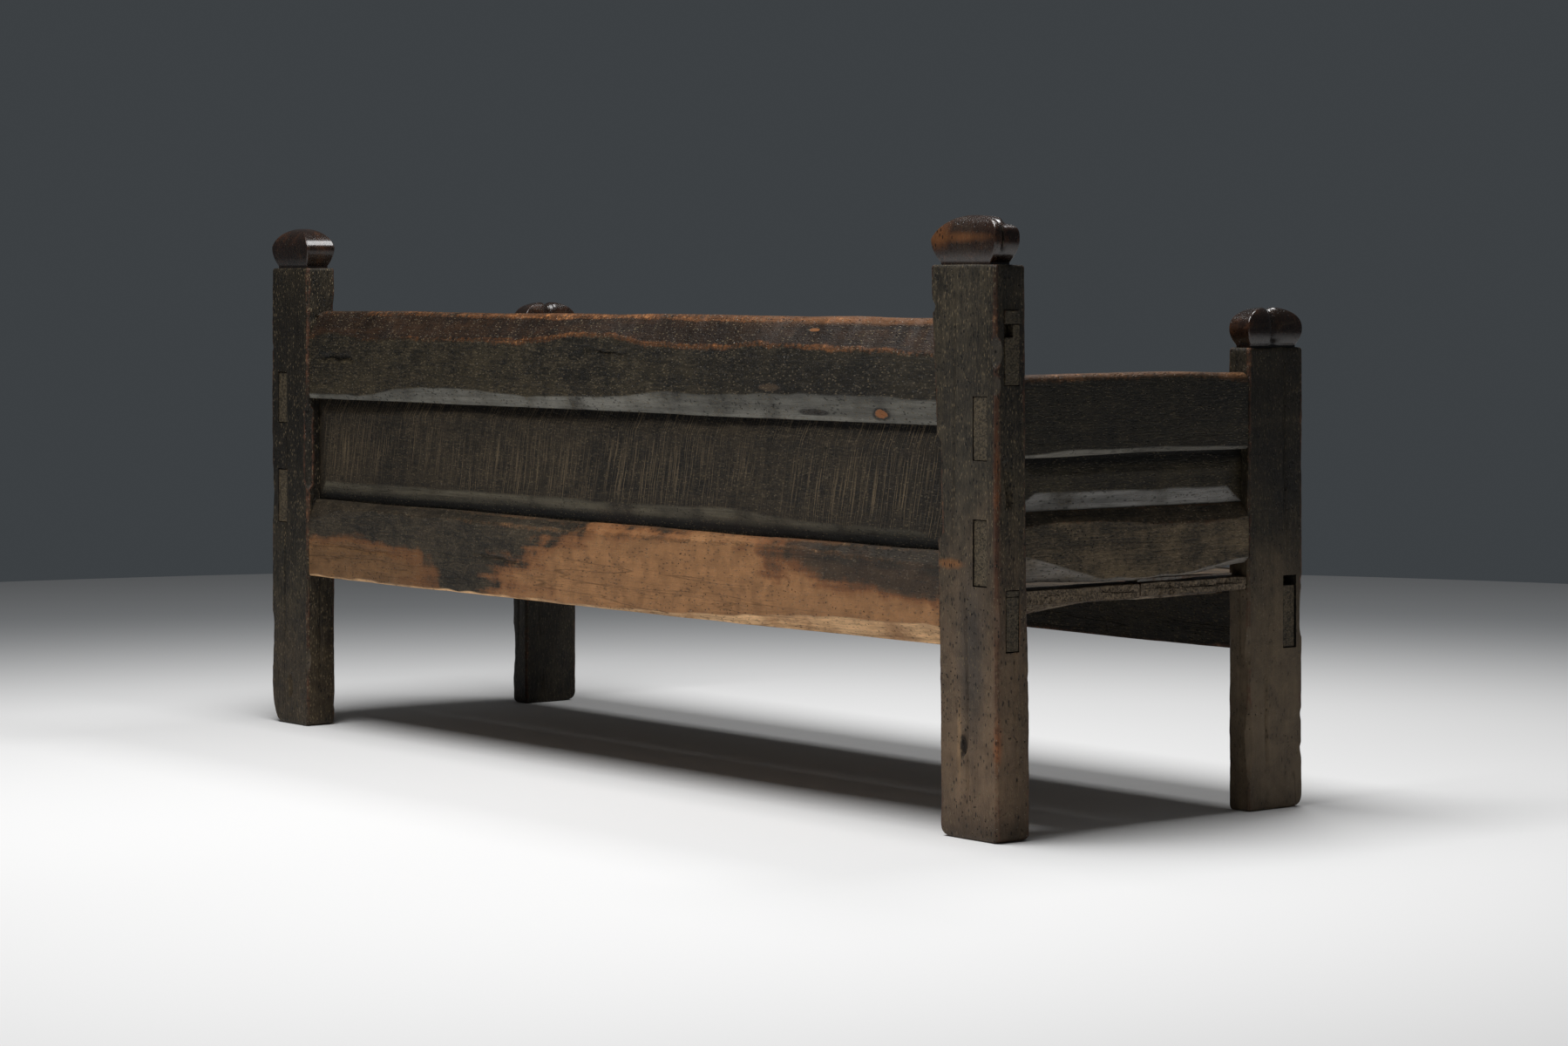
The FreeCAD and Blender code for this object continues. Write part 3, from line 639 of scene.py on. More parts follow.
class Wiring:
    """Adds nodes to a node tree and joins them up."""

    def __init__(self, tree: Tree) -> None:
        """Keeps the tree, and later the sockets of a group's inputs."""
        self.tree = tree
        self.given: dict[str, Socket] = {}

    def add(self, kind: str, feeds: dict | None = None, **settings: object) -> Node:
        """Adds a node.

        Args:
            kind: The node's type.
            feeds: What its inputs get, by name or number: an output to link, or a value.
            **settings: Properties of the node.

        Returns:
            The node.
        """
        node = self.tree.nodes.new(kind)
        for name, value in settings.items():
            setattr(node, name, value)
        for name, source in (feeds or {}).items():
            if isinstance(source, Socket):
                self.tree.links.new(source, node.inputs[name])
            else:
                node.inputs[name].default_value = source
        return node

    def math(self, operation: str, *values: object, clamp: bool = False) -> Socket:
        """Works out a sum of numbers, kept from 0 to 1 where it is clamped."""
        return self.add("ShaderNodeMath", dict(enumerate(values)), operation=operation, use_clamp=clamp).outputs[0]

    def times(self, first: object, second: object) -> Socket:
        """Multiplies two numbers."""
        return self.math("MULTIPLY", first, second)

    def along(self, value: object, slope: object, start: object) -> Socket:
        """Adds a value times its slope to a start."""
        return self.math("MULTIPLY_ADD", value, slope, start)

    def rest(self, value: object) -> Socket:
        """What a value leaves of 1."""
        return self.math("SUBTRACT", 1.0, value)

    def centred(self, value: object) -> Socket:
        """A pattern's distance from its middle value."""
        return self.math("SUBTRACT", value, 0.5)

    def vector(self, operation: str, *values: object) -> Socket:
        """Works out a sum of vectors; a length or a dot product is a number."""
        node = self.add("ShaderNodeVectorMath", dict(enumerate(values)), operation=operation)
        return node.outputs["Value" if operation in ("LENGTH", "DOT_PRODUCT") else 0]

    def noise(self, place: object, scale: object, detail: float = 2.0, rough: float = 0.5,
              swirl: float = 0.0) -> Socket:
        """Adds a noise pattern about 0.5, with scale cells in a metre."""
        feeds = {"Vector": place, "Scale": scale, "Detail": detail, "Roughness": rough, "Distortion": swirl}
        return self.add("ShaderNodeTexNoise", feeds).outputs[0]

    def step(self, value: object, low: object, high: object) -> Socket:
        """Eases a value from 0 at low to 1 at high."""
        feeds = {"Value": value, "From Min": low, "From Max": high}
        return self.add("ShaderNodeMapRange", feeds, interpolation_type="SMOOTHSTEP").outputs[0]

    def mix(self, share: object, first: object, second: object) -> Socket:
        """Mixes two colours, with that share of the second."""
        feeds = {number: (*value, 1.0) if isinstance(value, tuple) else value
                 for number, value in ((0, share), (6, first), (7, second))}
        return self.add("ShaderNodeMix", feeds, data_type="RGBA").outputs[2]

    def group(self, tree: Tree, **values: object) -> dict[str, Socket]:
        """Places a shader group with these inputs, and returns its outputs by name."""
        return {socket.name: socket for socket in self.add("ShaderNodeGroup", values, node_tree=tree).outputs}

    def give(self, **results: Socket) -> Tree:
        """Ends a shader group.

        Args:
            **results: What each of its outputs gets.

        Returns:
            The group's tree.
        """
        for name in results:
            self.tree.interface.new_socket(name, in_out="OUTPUT", socket_type="NodeSocketFloat")
        self.add("NodeGroupOutput", results)
        return self.tree


SOCKET_WORDS = {tuple: "Vector", float: "Float", int: "Int"}
NOWHERE = (0.0, 0.0, 0.0)
FRINGE = (0.24, 0.085, 0.026)
PIT_COLOUR = (0.004, 0.003, 0.002)
HOLE_COLOUR = (0.005, 0.004, 0.003)


def new_group(name: str, kind: str = "ShaderNodeTree", **inputs: object) -> Wiring:
    """Starts a group of nodes.

    Args:
        name: The group's name.
        kind: Type of its tree.
        **inputs: Starting value of each input, or the word for its type where it has none; an
            underscore in a name stands for a space.

    Returns:
        The wiring, with the inputs' sockets in given.
    """
    w = Wiring(bpy.data.node_groups.new(name, kind))
    for label, value in inputs.items():
        word = SOCKET_WORDS.get(type(value), value)
        socket = w.tree.interface.new_socket(
            label.replace("_", " "), in_out="INPUT", socket_type=f"NodeSocket{word}")
        if word is not value:
            socket.default_value = value
    w.given = {socket.name: socket for socket in w.add("NodeGroupInput").outputs}
    return w


class SurfaceEffects:
    """The effects that the wood finishes share, each built once as a shader group."""

    def __init__(self) -> None:
        """Builds the groups."""
        for build in (self.build_fibre, self.build_checks, self.build_worm, self.build_grit, self.build_wear,
                      self.build_patch, self.build_knot, self.build_saw):
            build()

    def build_fibre(self) -> None:
        """Long grain: fine fibres, broader streaks, clouds and blotches, short flecks, grit and pores."""
        w = new_group("long_grain", Place=NOWHERE, Stretch=(1.0, 1.0, 1.0))
        place, stretch = w.given["Place"], w.given["Stretch"]
        grain = w.vector("MULTIPLY", place, stretch)
        short, gritty = (
            w.vector("MULTIPLY", place, w.vector("MULTIPLY_ADD", stretch, (part,) * 3, (1.0 - part,) * 3))
            for part in (0.85, 0.6))
        self.fibre = w.give(
            Fibre=w.noise(grain, 420.0, 3.0, 0.62), Streak=w.noise(grain, 62.0, 4.0, 0.6, 0.5),
            Cloud=w.noise(place, 7.0, 5.0, 0.62, 0.4), Blotch=w.noise(place, 34.0, 4.0, 0.62, 0.3),
            Fleck=w.step(w.noise(short, 310.0, 4.0, 0.68), 0.5, 0.74), Grit=w.noise(gritty, 330.0, 4.0, 0.72),
            Pore=w.noise(place, 850.0, 2.0, 0.6))

    def build_checks(self) -> None:
        """Hairline drying checks that run with the grain."""
        w = new_group("drying_checks", Grain=NOWHERE, Scale=38.0, Width=0.012)
        grain = w.given["Grain"]
        away = w.math("ABSOLUTE", w.centred(w.noise(grain, w.given["Scale"], 2.0, 0.5, 0.2)))
        line = w.rest(w.step(away, 0.0, w.given["Width"]))
        self.checks = w.give(Check=w.times(line, w.step(w.noise(grain, 15.0), 0.5, 0.62)))

    def build_worm(self) -> None:
        """Round worm holes, in swarms."""
        w = new_group("worm_holes", Place=NOWHERE, Scale=120.0, Swarm=0.5)
        place = w.given["Place"]
        cells = w.add("ShaderNodeTexVoronoi", {"Vector": place, "Scale": w.given["Scale"]}).outputs
        dot = w.rest(w.step(cells["Distance"], 0.1, 0.17))
        here = w.step(w.math("ADD", w.noise(place, 11.0), w.given["Swarm"]), 0.9, 1.05)
        self.worm = w.give(Hole=w.times(dot, here))

    def build_grit(self) -> None:
        """Grit: short pale dashes and dark pits, scattered in clusters."""
        w = new_group("grit", Place=NOWHERE, Cluster=0.5)
        dots = {}
        for name, scale, low, high, cluster in (("Pale", 250.0, 0.34, 0.14, (0.36, 0.62)),
                                                ("Pit", 190.0, 0.3, 0.16, (0.64, 0.38))):
            cells = w.add("ShaderNodeTexVoronoi", {"Vector": w.given["Place"], "Scale": scale}).outputs
            lot = w.add("ShaderNodeSeparateColor", {0: cells["Color"]}).outputs[0]
            drawn = w.math("ADD", lot, w.step(w.given["Cluster"], *cluster))
            dots[name] = w.times(w.step(cells["Distance"], low, high), w.step(drawn, 0.75, 1.15))
        self.grit = w.give(**dots)

    def build_wear(self) -> None:
        """Wear along arrises: a broad soft rub, and small places rubbed bare."""
        w = new_group("arris_wear", Place=NOWHERE, Edge=0.0, Amount=0.5)
        coarse, fine = w.noise(w.given["Place"], 9.0, 3.0, 0.6), w.noise(w.given["Place"], 110.0, 5.0, 0.75)
        rough = w.math("ADD", w.times(coarse, 1.4), w.times(fine, 2.4))
        level = w.math("ADD", w.math("ADD", w.given["Edge"], rough), w.given["Amount"])
        self.wear = w.give(Rub=w.step(level, 2.75, 3.4), Bare=w.step(level, 3.35, 3.65))

    @staticmethod
    def away(w: Wiring) -> Socket:
        """Distance from a group's centre, in shares of its size."""
        away = w.vector("SUBTRACT", w.given["Place"], w.given["Centre"])
        return w.vector("LENGTH", w.vector("DIVIDE", away, w.given["Size"]))

    def build_patch(self) -> None:
        """One large patch with a ragged edge."""
        w = new_group("ragged_patch", Place=NOWHERE, Grain=NOWHERE, Centre=NOWHERE, Size=(0.1, 0.1, 0.1),
                      Feather=0.25, Ragged=0.8)
        torn = w.times(w.centred(w.noise(w.given["Grain"], 70.0, 4.0, 0.6)), 0.45)
        drift = w.math("ADD", w.centred(w.noise(w.given["Place"], 9.0, 6.0, 0.62, 0.4)), torn)
        edge = w.along(drift, w.given["Ragged"], self.away(w))
        inside, outside = w.rest(w.given["Feather"]), w.math("ADD", 1.0, w.given["Feather"])
        self.patch = w.give(Mask=w.rest(w.step(edge, inside, outside)))

    def build_knot(self) -> None:
        """A knot: its heart and the dark ring about it."""
        w = new_group("knot", Place=NOWHERE, Centre=NOWHERE, Size=(0.01, 0.01, 0.01))
        distance = w.along(w.centred(w.noise(w.given["Place"], 90.0, 3.0)), 0.7, self.away(w))
        heart, ring = w.rest(w.step(distance, 0.72, 0.95)), w.rest(w.step(distance, 1.0, 1.5))
        self.knot = w.give(Heart=heart, Ring=w.math("SUBTRACT", ring, heart))

    def build_saw(self) -> None:
        """Marks of a pit saw: slanting scratches across the grain, in bands."""
        w = new_group("saw_marks", Place=NOWHERE, Slant=0.2, Band=4.0)
        place = w.given["Place"]
        parts = w.add("ShaderNodeSeparateXYZ", {0: place}).outputs
        leaning = w.along(parts["Z"], w.given["Slant"], parts["X"])
        wavy = w.along(w.noise(place, 10.0), 0.012, leaning)
        line = w.add("ShaderNodeCombineXYZ", {"X": w.times(wavy, 420.0), "Y": w.times(parts["Z"], 9.0)}).outputs[0]
        scratch = w.step(w.noise(line, 1.0, 3.0, 0.65), 0.5, 0.68)
        band = w.step(w.noise(place, w.given["Band"], 4.0, 0.65), 0.26, 0.55)
        self.saw = w.give(Mark=w.times(scratch, band))


def scaled(colour: Colour, share: float) -> Colour:
    """Makes a colour lighter or darker by a share of itself."""
    return tuple(part * share for part in colour)


@dataclass(frozen=True)
class Patch:
    """A patch of colour: patina worn through or darker, or painted shade, painted shadow or painted sheen."""

    centre: Place
    size: Place
    colour: Colour
    strength: float = 1.0
    feather: float = 0.25
    ragged: float = 0.9
    fringe: float = 0.0
    under: bool = False


@dataclass(frozen=True)
class Knot:
    """A knot in the wood."""

    centre: Place
    size: Place
    heart: Colour
    ring: Colour = (0.01, 0.008, 0.006)


@dataclass
class Coat:
    """A finish while it is laid on: its nodes and masks, and the colour and relief so far."""

    w: Wiring
    effects: SurfaceEffects
    place: Socket
    stretched: Socket
    grain: dict[str, Socket]
    zones: dict[Zone, Socket]
    colour: Socket
    height: Socket

    def lay(self, mask: object, colour: object, share: float = 1.0) -> None:
        """Lays a colour over what is there.

        Args:
            mask: Where it goes.
            colour: The colour.
            share: How strongly it covers.
        """
        if share != 1.0:
            mask = self.w.times(mask, share)
        self.colour = self.w.mix(mask, self.colour, colour)

    def lift(self, mask: object, amount: float) -> None:
        """Raises the relief by an amount where the mask is, or sinks it by a negative one."""
        self.height = self.w.along(mask, amount, self.height)

    def tones(self, colour: Colour, dark: float = 0.5, light: float = 1.25, lines: float = 0.6) -> Socket:
        """Breaks a colour up along the grain.

        Args:
            colour: The colour.
            dark: Its darkest share.
            light: Its lightest share.
            lines: Strength of the dark fibres.

        Returns:
            The colour with streaks and fibres.
        """
        w = self.w
        streaks = w.mix(w.step(self.grain["Streak"], 0.32, 0.7), scaled(colour, dark), scaled(colour, light))
        fibres = w.step(self.grain["Fibre"], 0.52, 0.3)
        return w.mix(w.times(fibres, lines), streaks, scaled(colour, 0.5 * dark + 0.1))


@dataclass(frozen=True)
class WoodFinish:
    """One wood finish: patina, wear, pale raw wood and painted floor light, painted shade, and what shows through
    them.
    """

    name: str
    axis: Axis
    dark: Colour = (0.0095, 0.0076, 0.0046)
    brown: Colour = (0.044, 0.033, 0.0175)
    fleck: Colour = (0.13, 0.098, 0.056)
    flecks: float = 0.5
    grit: float = 0.55
    rubbed: Colour = (0.085, 0.036, 0.019)
    bare: Colour = (0.2, 0.1, 0.048)
    wear: float = 0.3
    wane: Colour = (0.08, 0.043, 0.022)
    silver: Colour = (0.25, 0.232, 0.195)
    end: Colour = (0.07, 0.055, 0.034)
    carved: Colour = (0.02, 0.009, 0.0058)
    carved_rubbed: Colour = (0.085, 0.034, 0.015)
    roughness: float = 0.5
    swarm: float = 0.44
    checks: float = 0.45
    saw: float = 0.12
    saw_colour: Colour = (0.105, 0.082, 0.052)
    speck: Colour = (0.26, 0.225, 0.18)
    patches: tuple[Patch, ...] = ()
    knots: tuple[Knot, ...] = ()

    def material(self, effects: SurfaceEffects) -> Material:
        """Builds the finish as a material.

        Args:
            effects: The shared effects.

        Returns:
            The material.
        """
        material = bpy.data.materials.new(self.name)
        material.use_nodes = True
        material.node_tree.nodes.clear()
        w = Wiring(material.node_tree)
        coat = self.patina(w, effects)
        self.add_zones(coat)
        self.add_patches(coat, under=True)
        # Pale raw wood, and painted floor light on faces that look down, laid from the pale and floor-lit zone.
        pale_mottle = w.step(w.noise(coat.place, 10.0, 5.0, 0.6), 0.22, 0.58)
        coat.lay(w.times(coat.zones[Zone.SILVER], pale_mottle), coat.tones(self.silver, 0.55, 1.1))
        self.add_patches(coat, under=False)
        self.add_marks(coat)
        self.join_shader(coat, self.add_wear(coat), self.add_damage(coat))
        return material

    def patina(self, w: Wiring, effects: SurfaceEffects) -> Coat:
        """Lays the dark patina, from clouds, streaks, fibres and flecks.

        Args:
            w: The material's wiring.
            effects: The shared effects.

        Returns:
            The coat so far.
        """
        place = w.add("ShaderNodeTexCoord").outputs["Object"]
        stretch = self.axis.stretched(0.045)
        grain = w.group(effects.fibre, Place=place, Stretch=stretch)
        share = 0.44
        for name, part in (("Cloud", 1.4), ("Blotch", 1.0), ("Streak", 0.8), ("Fibre", 0.8), ("Grit", 1.1)):
            share = w.along(w.centred(grain[name]), part, share)
        colour = w.mix(w.step(share, 0.05, 0.95), self.dark, self.brown)
        zones = {zone: w.add("ShaderNodeAttribute", attribute_name=zone.value).outputs["Fac"] for zone in Zone}
        coat = Coat(w, effects, place, w.vector("MULTIPLY", place, stretch), grain, zones, colour,
                    w.times(grain["Fibre"], 0.45))
        for name, amount in (("Streak", 0.35), ("Pore", 0.3), ("Grit", 0.9), ("Fleck", 0.35)):
            coat.lift(grain[name], amount)
        coat.lay(grain["Fleck"], self.fleck, self.flecks)
        coat.lay(w.step(grain["Grit"], 0.6, 0.72), self.fleck, self.flecks)
        coat.lay(w.step(grain["Grit"], 0.43, 0.31), scaled(self.dark, 0.35), 0.85)
        short = w.vector("MULTIPLY", place, self.axis.stretched(0.42))
        grain.update(w.group(effects.grit, Place=short, Cluster=grain["Blotch"]))
        return coat

    def add_zones(self, coat: Coat) -> None:
        """Lays the wane, the end grain and the polished carving.

        Args:
            coat: The coat so far.
        """
        w, grit = coat.w, coat.grain["Grit"]
        torn = w.step(w.noise(coat.place, 24.0, 4.0, 0.65), 0.34, 0.62)
        coat.lay(coat.zones[Zone.WANE], w.mix(torn, scaled(self.wane, 0.35), coat.tones(self.wane, 0.45, 1.4)))
        cut = w.mix(w.step(w.noise(coat.place, 290.0, 4.0, 0.7), 0.38, 0.62), scaled(self.end, 0.2), self.end)
        coat.lay(coat.zones[Zone.END_GRAIN], cut, 0.9)
        rub = w.step(w.noise(coat.place, 30.0, 5.0, 0.68, 0.4), 0.48, 0.74)
        worn = w.mix(rub, self.carved, self.carved_rubbed)
        worn = w.mix(w.step(grit, 0.46, 0.33), worn, scaled(self.carved, 0.3))
        worn = w.mix(w.step(grit, 0.62, 0.74), worn, scaled(self.carved_rubbed, 1.4))
        coat.lay(coat.zones[Zone.CARVED], worn)

    def add_patches(self, coat: Coat, under: bool) -> None:
        """Lays the patches: worn-through and darker patina, painted shade, painted shadows and painted sheen.

        Args:
            coat: The coat so far.
            under: Whether those laid under the pale, floor-lit faces are meant, or those over them.
        """
        w = coat.w
        sawn = w.rest(coat.zones[Zone.END_GRAIN])
        for patch in self.patches:
            if patch.under is not under:
                continue
            mask = w.group(coat.effects.patch, Place=coat.place, Grain=coat.stretched, Centre=patch.centre,
                           Size=patch.size, Feather=patch.feather, Ragged=patch.ragged)["Mask"]
            mask = w.times(mask, sawn)
            if patch.fringe:
                coat.lay(w.times(w.times(mask, w.rest(mask)), 4.0), FRINGE, patch.fringe)
            light = coat.tones(patch.colour, 0.95, 1.12, 0.25)
            mottled = w.mix(w.step(coat.grain["Blotch"], 0.34, 0.66), scaled(patch.colour, 0.7), light)
            coat.lay(mask, mottled, patch.strength)

    def add_marks(self, coat: Coat) -> None:
        """Scratches the saw's marks in, and sets the knots.

        Args:
            coat: The coat so far.
        """
        w = coat.w
        mark = w.times(w.group(coat.effects.saw, Place=coat.place)["Mark"], w.rest(coat.zones[Zone.SILVER]))
        coat.lay(mark, self.saw_colour, self.saw)
        coat.lift(mark, 0.4 * self.saw)
        for knot in self.knots:
            spot = w.group(coat.effects.knot, Place=coat.place, Centre=knot.centre, Size=knot.size)
            coat.lay(spot["Ring"], knot.ring, 0.85)
            coat.lay(spot["Heart"], knot.heart, 0.9)

    def add_wear(self, coat: Coat) -> Socket:
        """Rubs the arrises.

        Args:
            coat: The coat so far.

        Returns:
            Where they are rubbed.
        """
        w = coat.w
        worn = w.group(coat.effects.wear, Place=coat.place, Edge=coat.zones[Zone.EDGE], Amount=self.wear)
        plain = w.rest(w.times(coat.zones[Zone.CARVED], 0.8))
        coat.lay(w.times(worn["Rub"], plain), coat.tones(self.rubbed, 0.5, 1.3), 0.85)
        coat.lay(w.times(worn["Bare"], plain), coat.tones(self.bare, 0.6, 1.3))
        return worn["Rub"]

    def add_damage(self, coat: Coat) -> Socket:
        """Adds checks, worm holes and pale specks.

        Args:
            coat: The coat so far.

        Returns:
            Where the holes and checks are.
        """
        w, pale, pit = coat.w, coat.grain["Pale"], coat.grain["Pit"]
        check = w.group(coat.effects.checks, Grain=coat.stretched)["Check"]
        fine = w.group(coat.effects.checks, Grain=coat.stretched, Scale=150.0, Width=0.03)["Check"]
        check = w.times(w.math("MAXIMUM", check, w.times(fine, 0.5)), self.checks)
        hole = w.group(coat.effects.worm, Place=coat.place, Swarm=self.swarm)["Hole"]
        plain = w.along(coat.zones[Zone.CARVED], -0.85, 1.0)
        speck = w.step(w.noise(coat.place, 300.0, 2.0, 0.6), 0.66, 0.74)
        speck = w.times(speck, w.along(coat.zones[Zone.EDGE], 0.5, 0.4))
        coat.lay(w.times(speck, plain), self.speck)
        coat.lay(w.times(pale, plain), scaled(self.fleck, 1.25), self.grit)
        coat.lay(pit, PIT_COLOUR, self.grit)
        dark = w.math("MAXIMUM", check, hole)
        coat.lay(dark, HOLE_COLOUR, 0.92)
        for mask, amount in ((pale, 0.5), (pit, -1.0), (check, -1.3), (hole, -2.5)):
            coat.lift(mask, amount)
        return dark

    def join_shader(self, coat: Coat, rub: Socket, hole: Socket) -> None:
        """Joins colour, gloss and relief to the shader.

        Args:
            coat: The finished coat.
            rub: Where arrises are rubbed.
            hole: Where holes and checks are.
        """
        w, carved = coat.w, coat.zones[Zone.CARVED]
        gloss = w.along(w.centred(coat.grain["Cloud"]), 0.35, self.roughness)
        gloss = w.along(w.centred(coat.grain["Fibre"]), 0.25, gloss)
        gloss = w.along(rub, -0.08, gloss)
        waxed = w.along(w.noise(coat.place, 70.0, 4.0, 0.7), 0.36, 0.06)
        gloss = w.math("ADD", gloss, w.times(carved, w.math("SUBTRACT", waxed, gloss)))
        relief = w.times(coat.height, w.along(carved, -0.7, 1.0))
        bump = w.add("ShaderNodeBump", {"Strength": 0.9, "Distance": 0.0013, "Height": relief})
        polish = w.times(coat.zones[Zone.WANE], w.step(coat.grain["Blotch"], 0.45, 0.65))
        shader = w.add("ShaderNodeBsdfPrincipled", {
            "Base Color": coat.colour, "Roughness": w.math("MULTIPLY_ADD", hole, 0.5, gloss, clamp=True),
            "Normal": bump.outputs[0], "Specular IOR Level": 0.24, "Coat Roughness": 0.13,
            "Coat Weight": w.along(polish, 0.35, w.times(carved, 0.65))})
        w.add("ShaderNodeOutputMaterial", {"Surface": shader.outputs[0]})


class GeometryTool:
    """A tree of Geometry Nodes that shapes a piece and leaves it a plain mesh."""

    def __init__(self, name: str, **inputs: object) -> None:
        """Starts the tree, with starting values of its inputs."""
        self.w = new_group(name, "GeometryNodeTree", Geometry="Geometry", **inputs, Material="Material")

    def close(self, geometry: Socket) -> None:
        """Ends the tree: makes instances real and sets the material.

        Args:
            geometry: What it has made.
        """
        w = self.w
        whole = w.add("GeometryNodeRealizeInstances", {0: geometry}).outputs[0]
        dressed = w.add("GeometryNodeSetMaterial", {"Geometry": whole, "Material": w.given["Material"]})
        w.tree.interface.new_socket("Geometry", in_out="OUTPUT", socket_type="NodeSocketGeometry")
        w.add("NodeGroupOutput", {0: dressed.outputs[0]})

    def work(self, piece: Object, **values: object) -> None:
        """Runs the tree on a piece.

        Args:
            piece: The object.
            **values: Inputs that differ from their starting values.
        """
        tree = self.w.tree
        modifier = piece.modifiers.new(tree.name, "NODES")
        modifier.node_group = tree
        for item in tree.interface.items_tree:
            name = item.name.replace(" ", "_")
            if item.in_out == "INPUT" and name in values:
                modifier[item.identifier] = values[name]
        made_plain(piece)


class ToolMarks(GeometryTool):
    """Gives a sawn or hewn timber its uneven surface."""

    def __init__(self) -> None:
        """Builds the tree."""
        super().__init__("tool_marks", Wave_Height=WAVE, Wave_Length=0.22, Ripple_Height=RIPPLE,
                         Ripple_Length=0.035, Seed=0.0, Grain=NOWHERE)
        w, given = self.w, self.w.given
        place = w.vector("MULTIPLY", w.add("GeometryNodeInputPosition").outputs[0], given["Grain"])
        waves, ripples = (self.unevenness(place, size) for size in ("Wave", "Ripple"))
        carved = w.add("GeometryNodeInputNamedAttribute", {"Name": Zone.CARVED.value}, data_type="FLOAT").outputs[0]
        height = w.times(w.math("ADD", waves, ripples), w.along(carved, -0.7, 1.0))
        sunk = w.math("SUBTRACT", height, w.times(given["Wave Height"], 0.35))
        normal = w.add("GeometryNodeInputNormal").outputs[0]
        offset = w.add("ShaderNodeVectorMath", {0: normal, "Scale": sunk}, operation="SCALE").outputs[0]
        self.close(w.add("GeometryNodeSetPosition", {"Geometry": given["Geometry"], "Offset": offset}).outputs[0])

    def unevenness(self, place: Socket, size: str) -> Socket:
        """One size of unevenness.

        Args:
            place: Where it is read.
            size: The size's name in the tree's inputs.

        Returns:
            The height.
        """
        w = self.w
        length, height = (w.given[f"{size} {word}"] for word in ("Length", "Height"))
        feeds = {"Vector": place, "W": w.given["Seed"], "Scale": w.math("DIVIDE", 1.0, length), "Detail": 1.5}
        noise = w.add("ShaderNodeTexNoise", feeds, noise_dimensions="4D").outputs[0]
        return w.times(w.centred(noise), w.times(height, 3.0))

    def hew(self, piece: Object, axis: Axis, material: Material, seed: int,
            wave: float = WAVE, ripple: float = RIPPLE) -> None:
        """Hews a piece, with long waves and short ripples of these heights, in one of many patterns."""
        self.work(piece, Wave_Height=wave, Ripple_Height=ripple, Seed=seed * 3.7, Grain=axis.stretched(0.45),
                  Material=material)


class PegSetter(GeometryTool):
    """Sets whittled pegs at given points."""

    def __init__(self) -> None:
        """Builds the tree."""
        super().__init__("whittled_pegs", Thick_Radius=0.0054, Thin_Radius=0.005, Length=0.059, Facets=9, Seed=5)
        w, given = self.w, self.w.given
        peg = w.add("GeometryNodeMeshCone", {
            "Vertices": given["Facets"], "Radius Top": given["Thin Radius"], "Radius Bottom": given["Thick Radius"],
            "Depth": given["Length"], "Side Segments": 4, "Fill Segments": 3}).outputs["Mesh"]
        drop = w.add("ShaderNodeCombineXYZ", {"Z": w.times(given["Length"], -0.5)}).outputs[0]
        middle = w.add("GeometryNodeTransform", {"Geometry": peg, "Translation": drop}).outputs[0]
        turned = w.add("FunctionNodeRandomValue", {3: math.tau, "Seed": given["Seed"]}, data_type="FLOAT")
        spin = w.add("ShaderNodeCombineXYZ", {"X": math.radians(-90.0), "Y": turned.outputs[1]}).outputs[0]
        self.close(w.add("GeometryNodeInstanceOnPoints", {
            "Points": given["Geometry"], "Instance": middle, "Rotation": spin}).outputs[0])

    def set(self, name: str, points: list[Place], material: Material) -> Object:
        """Sets pegs at points and leaves them a plain mesh.

        Args:
            name: The object's name.
            points: Middles of the pegs.
            material: Their finish.

        Returns:
            The object.
        """
        mesh = bpy.data.meshes.new(name)
        mesh.from_pydata(points, [], [])
        pegs = linked(name, mesh)
        self.work(pegs, Material=material)
        return pegs


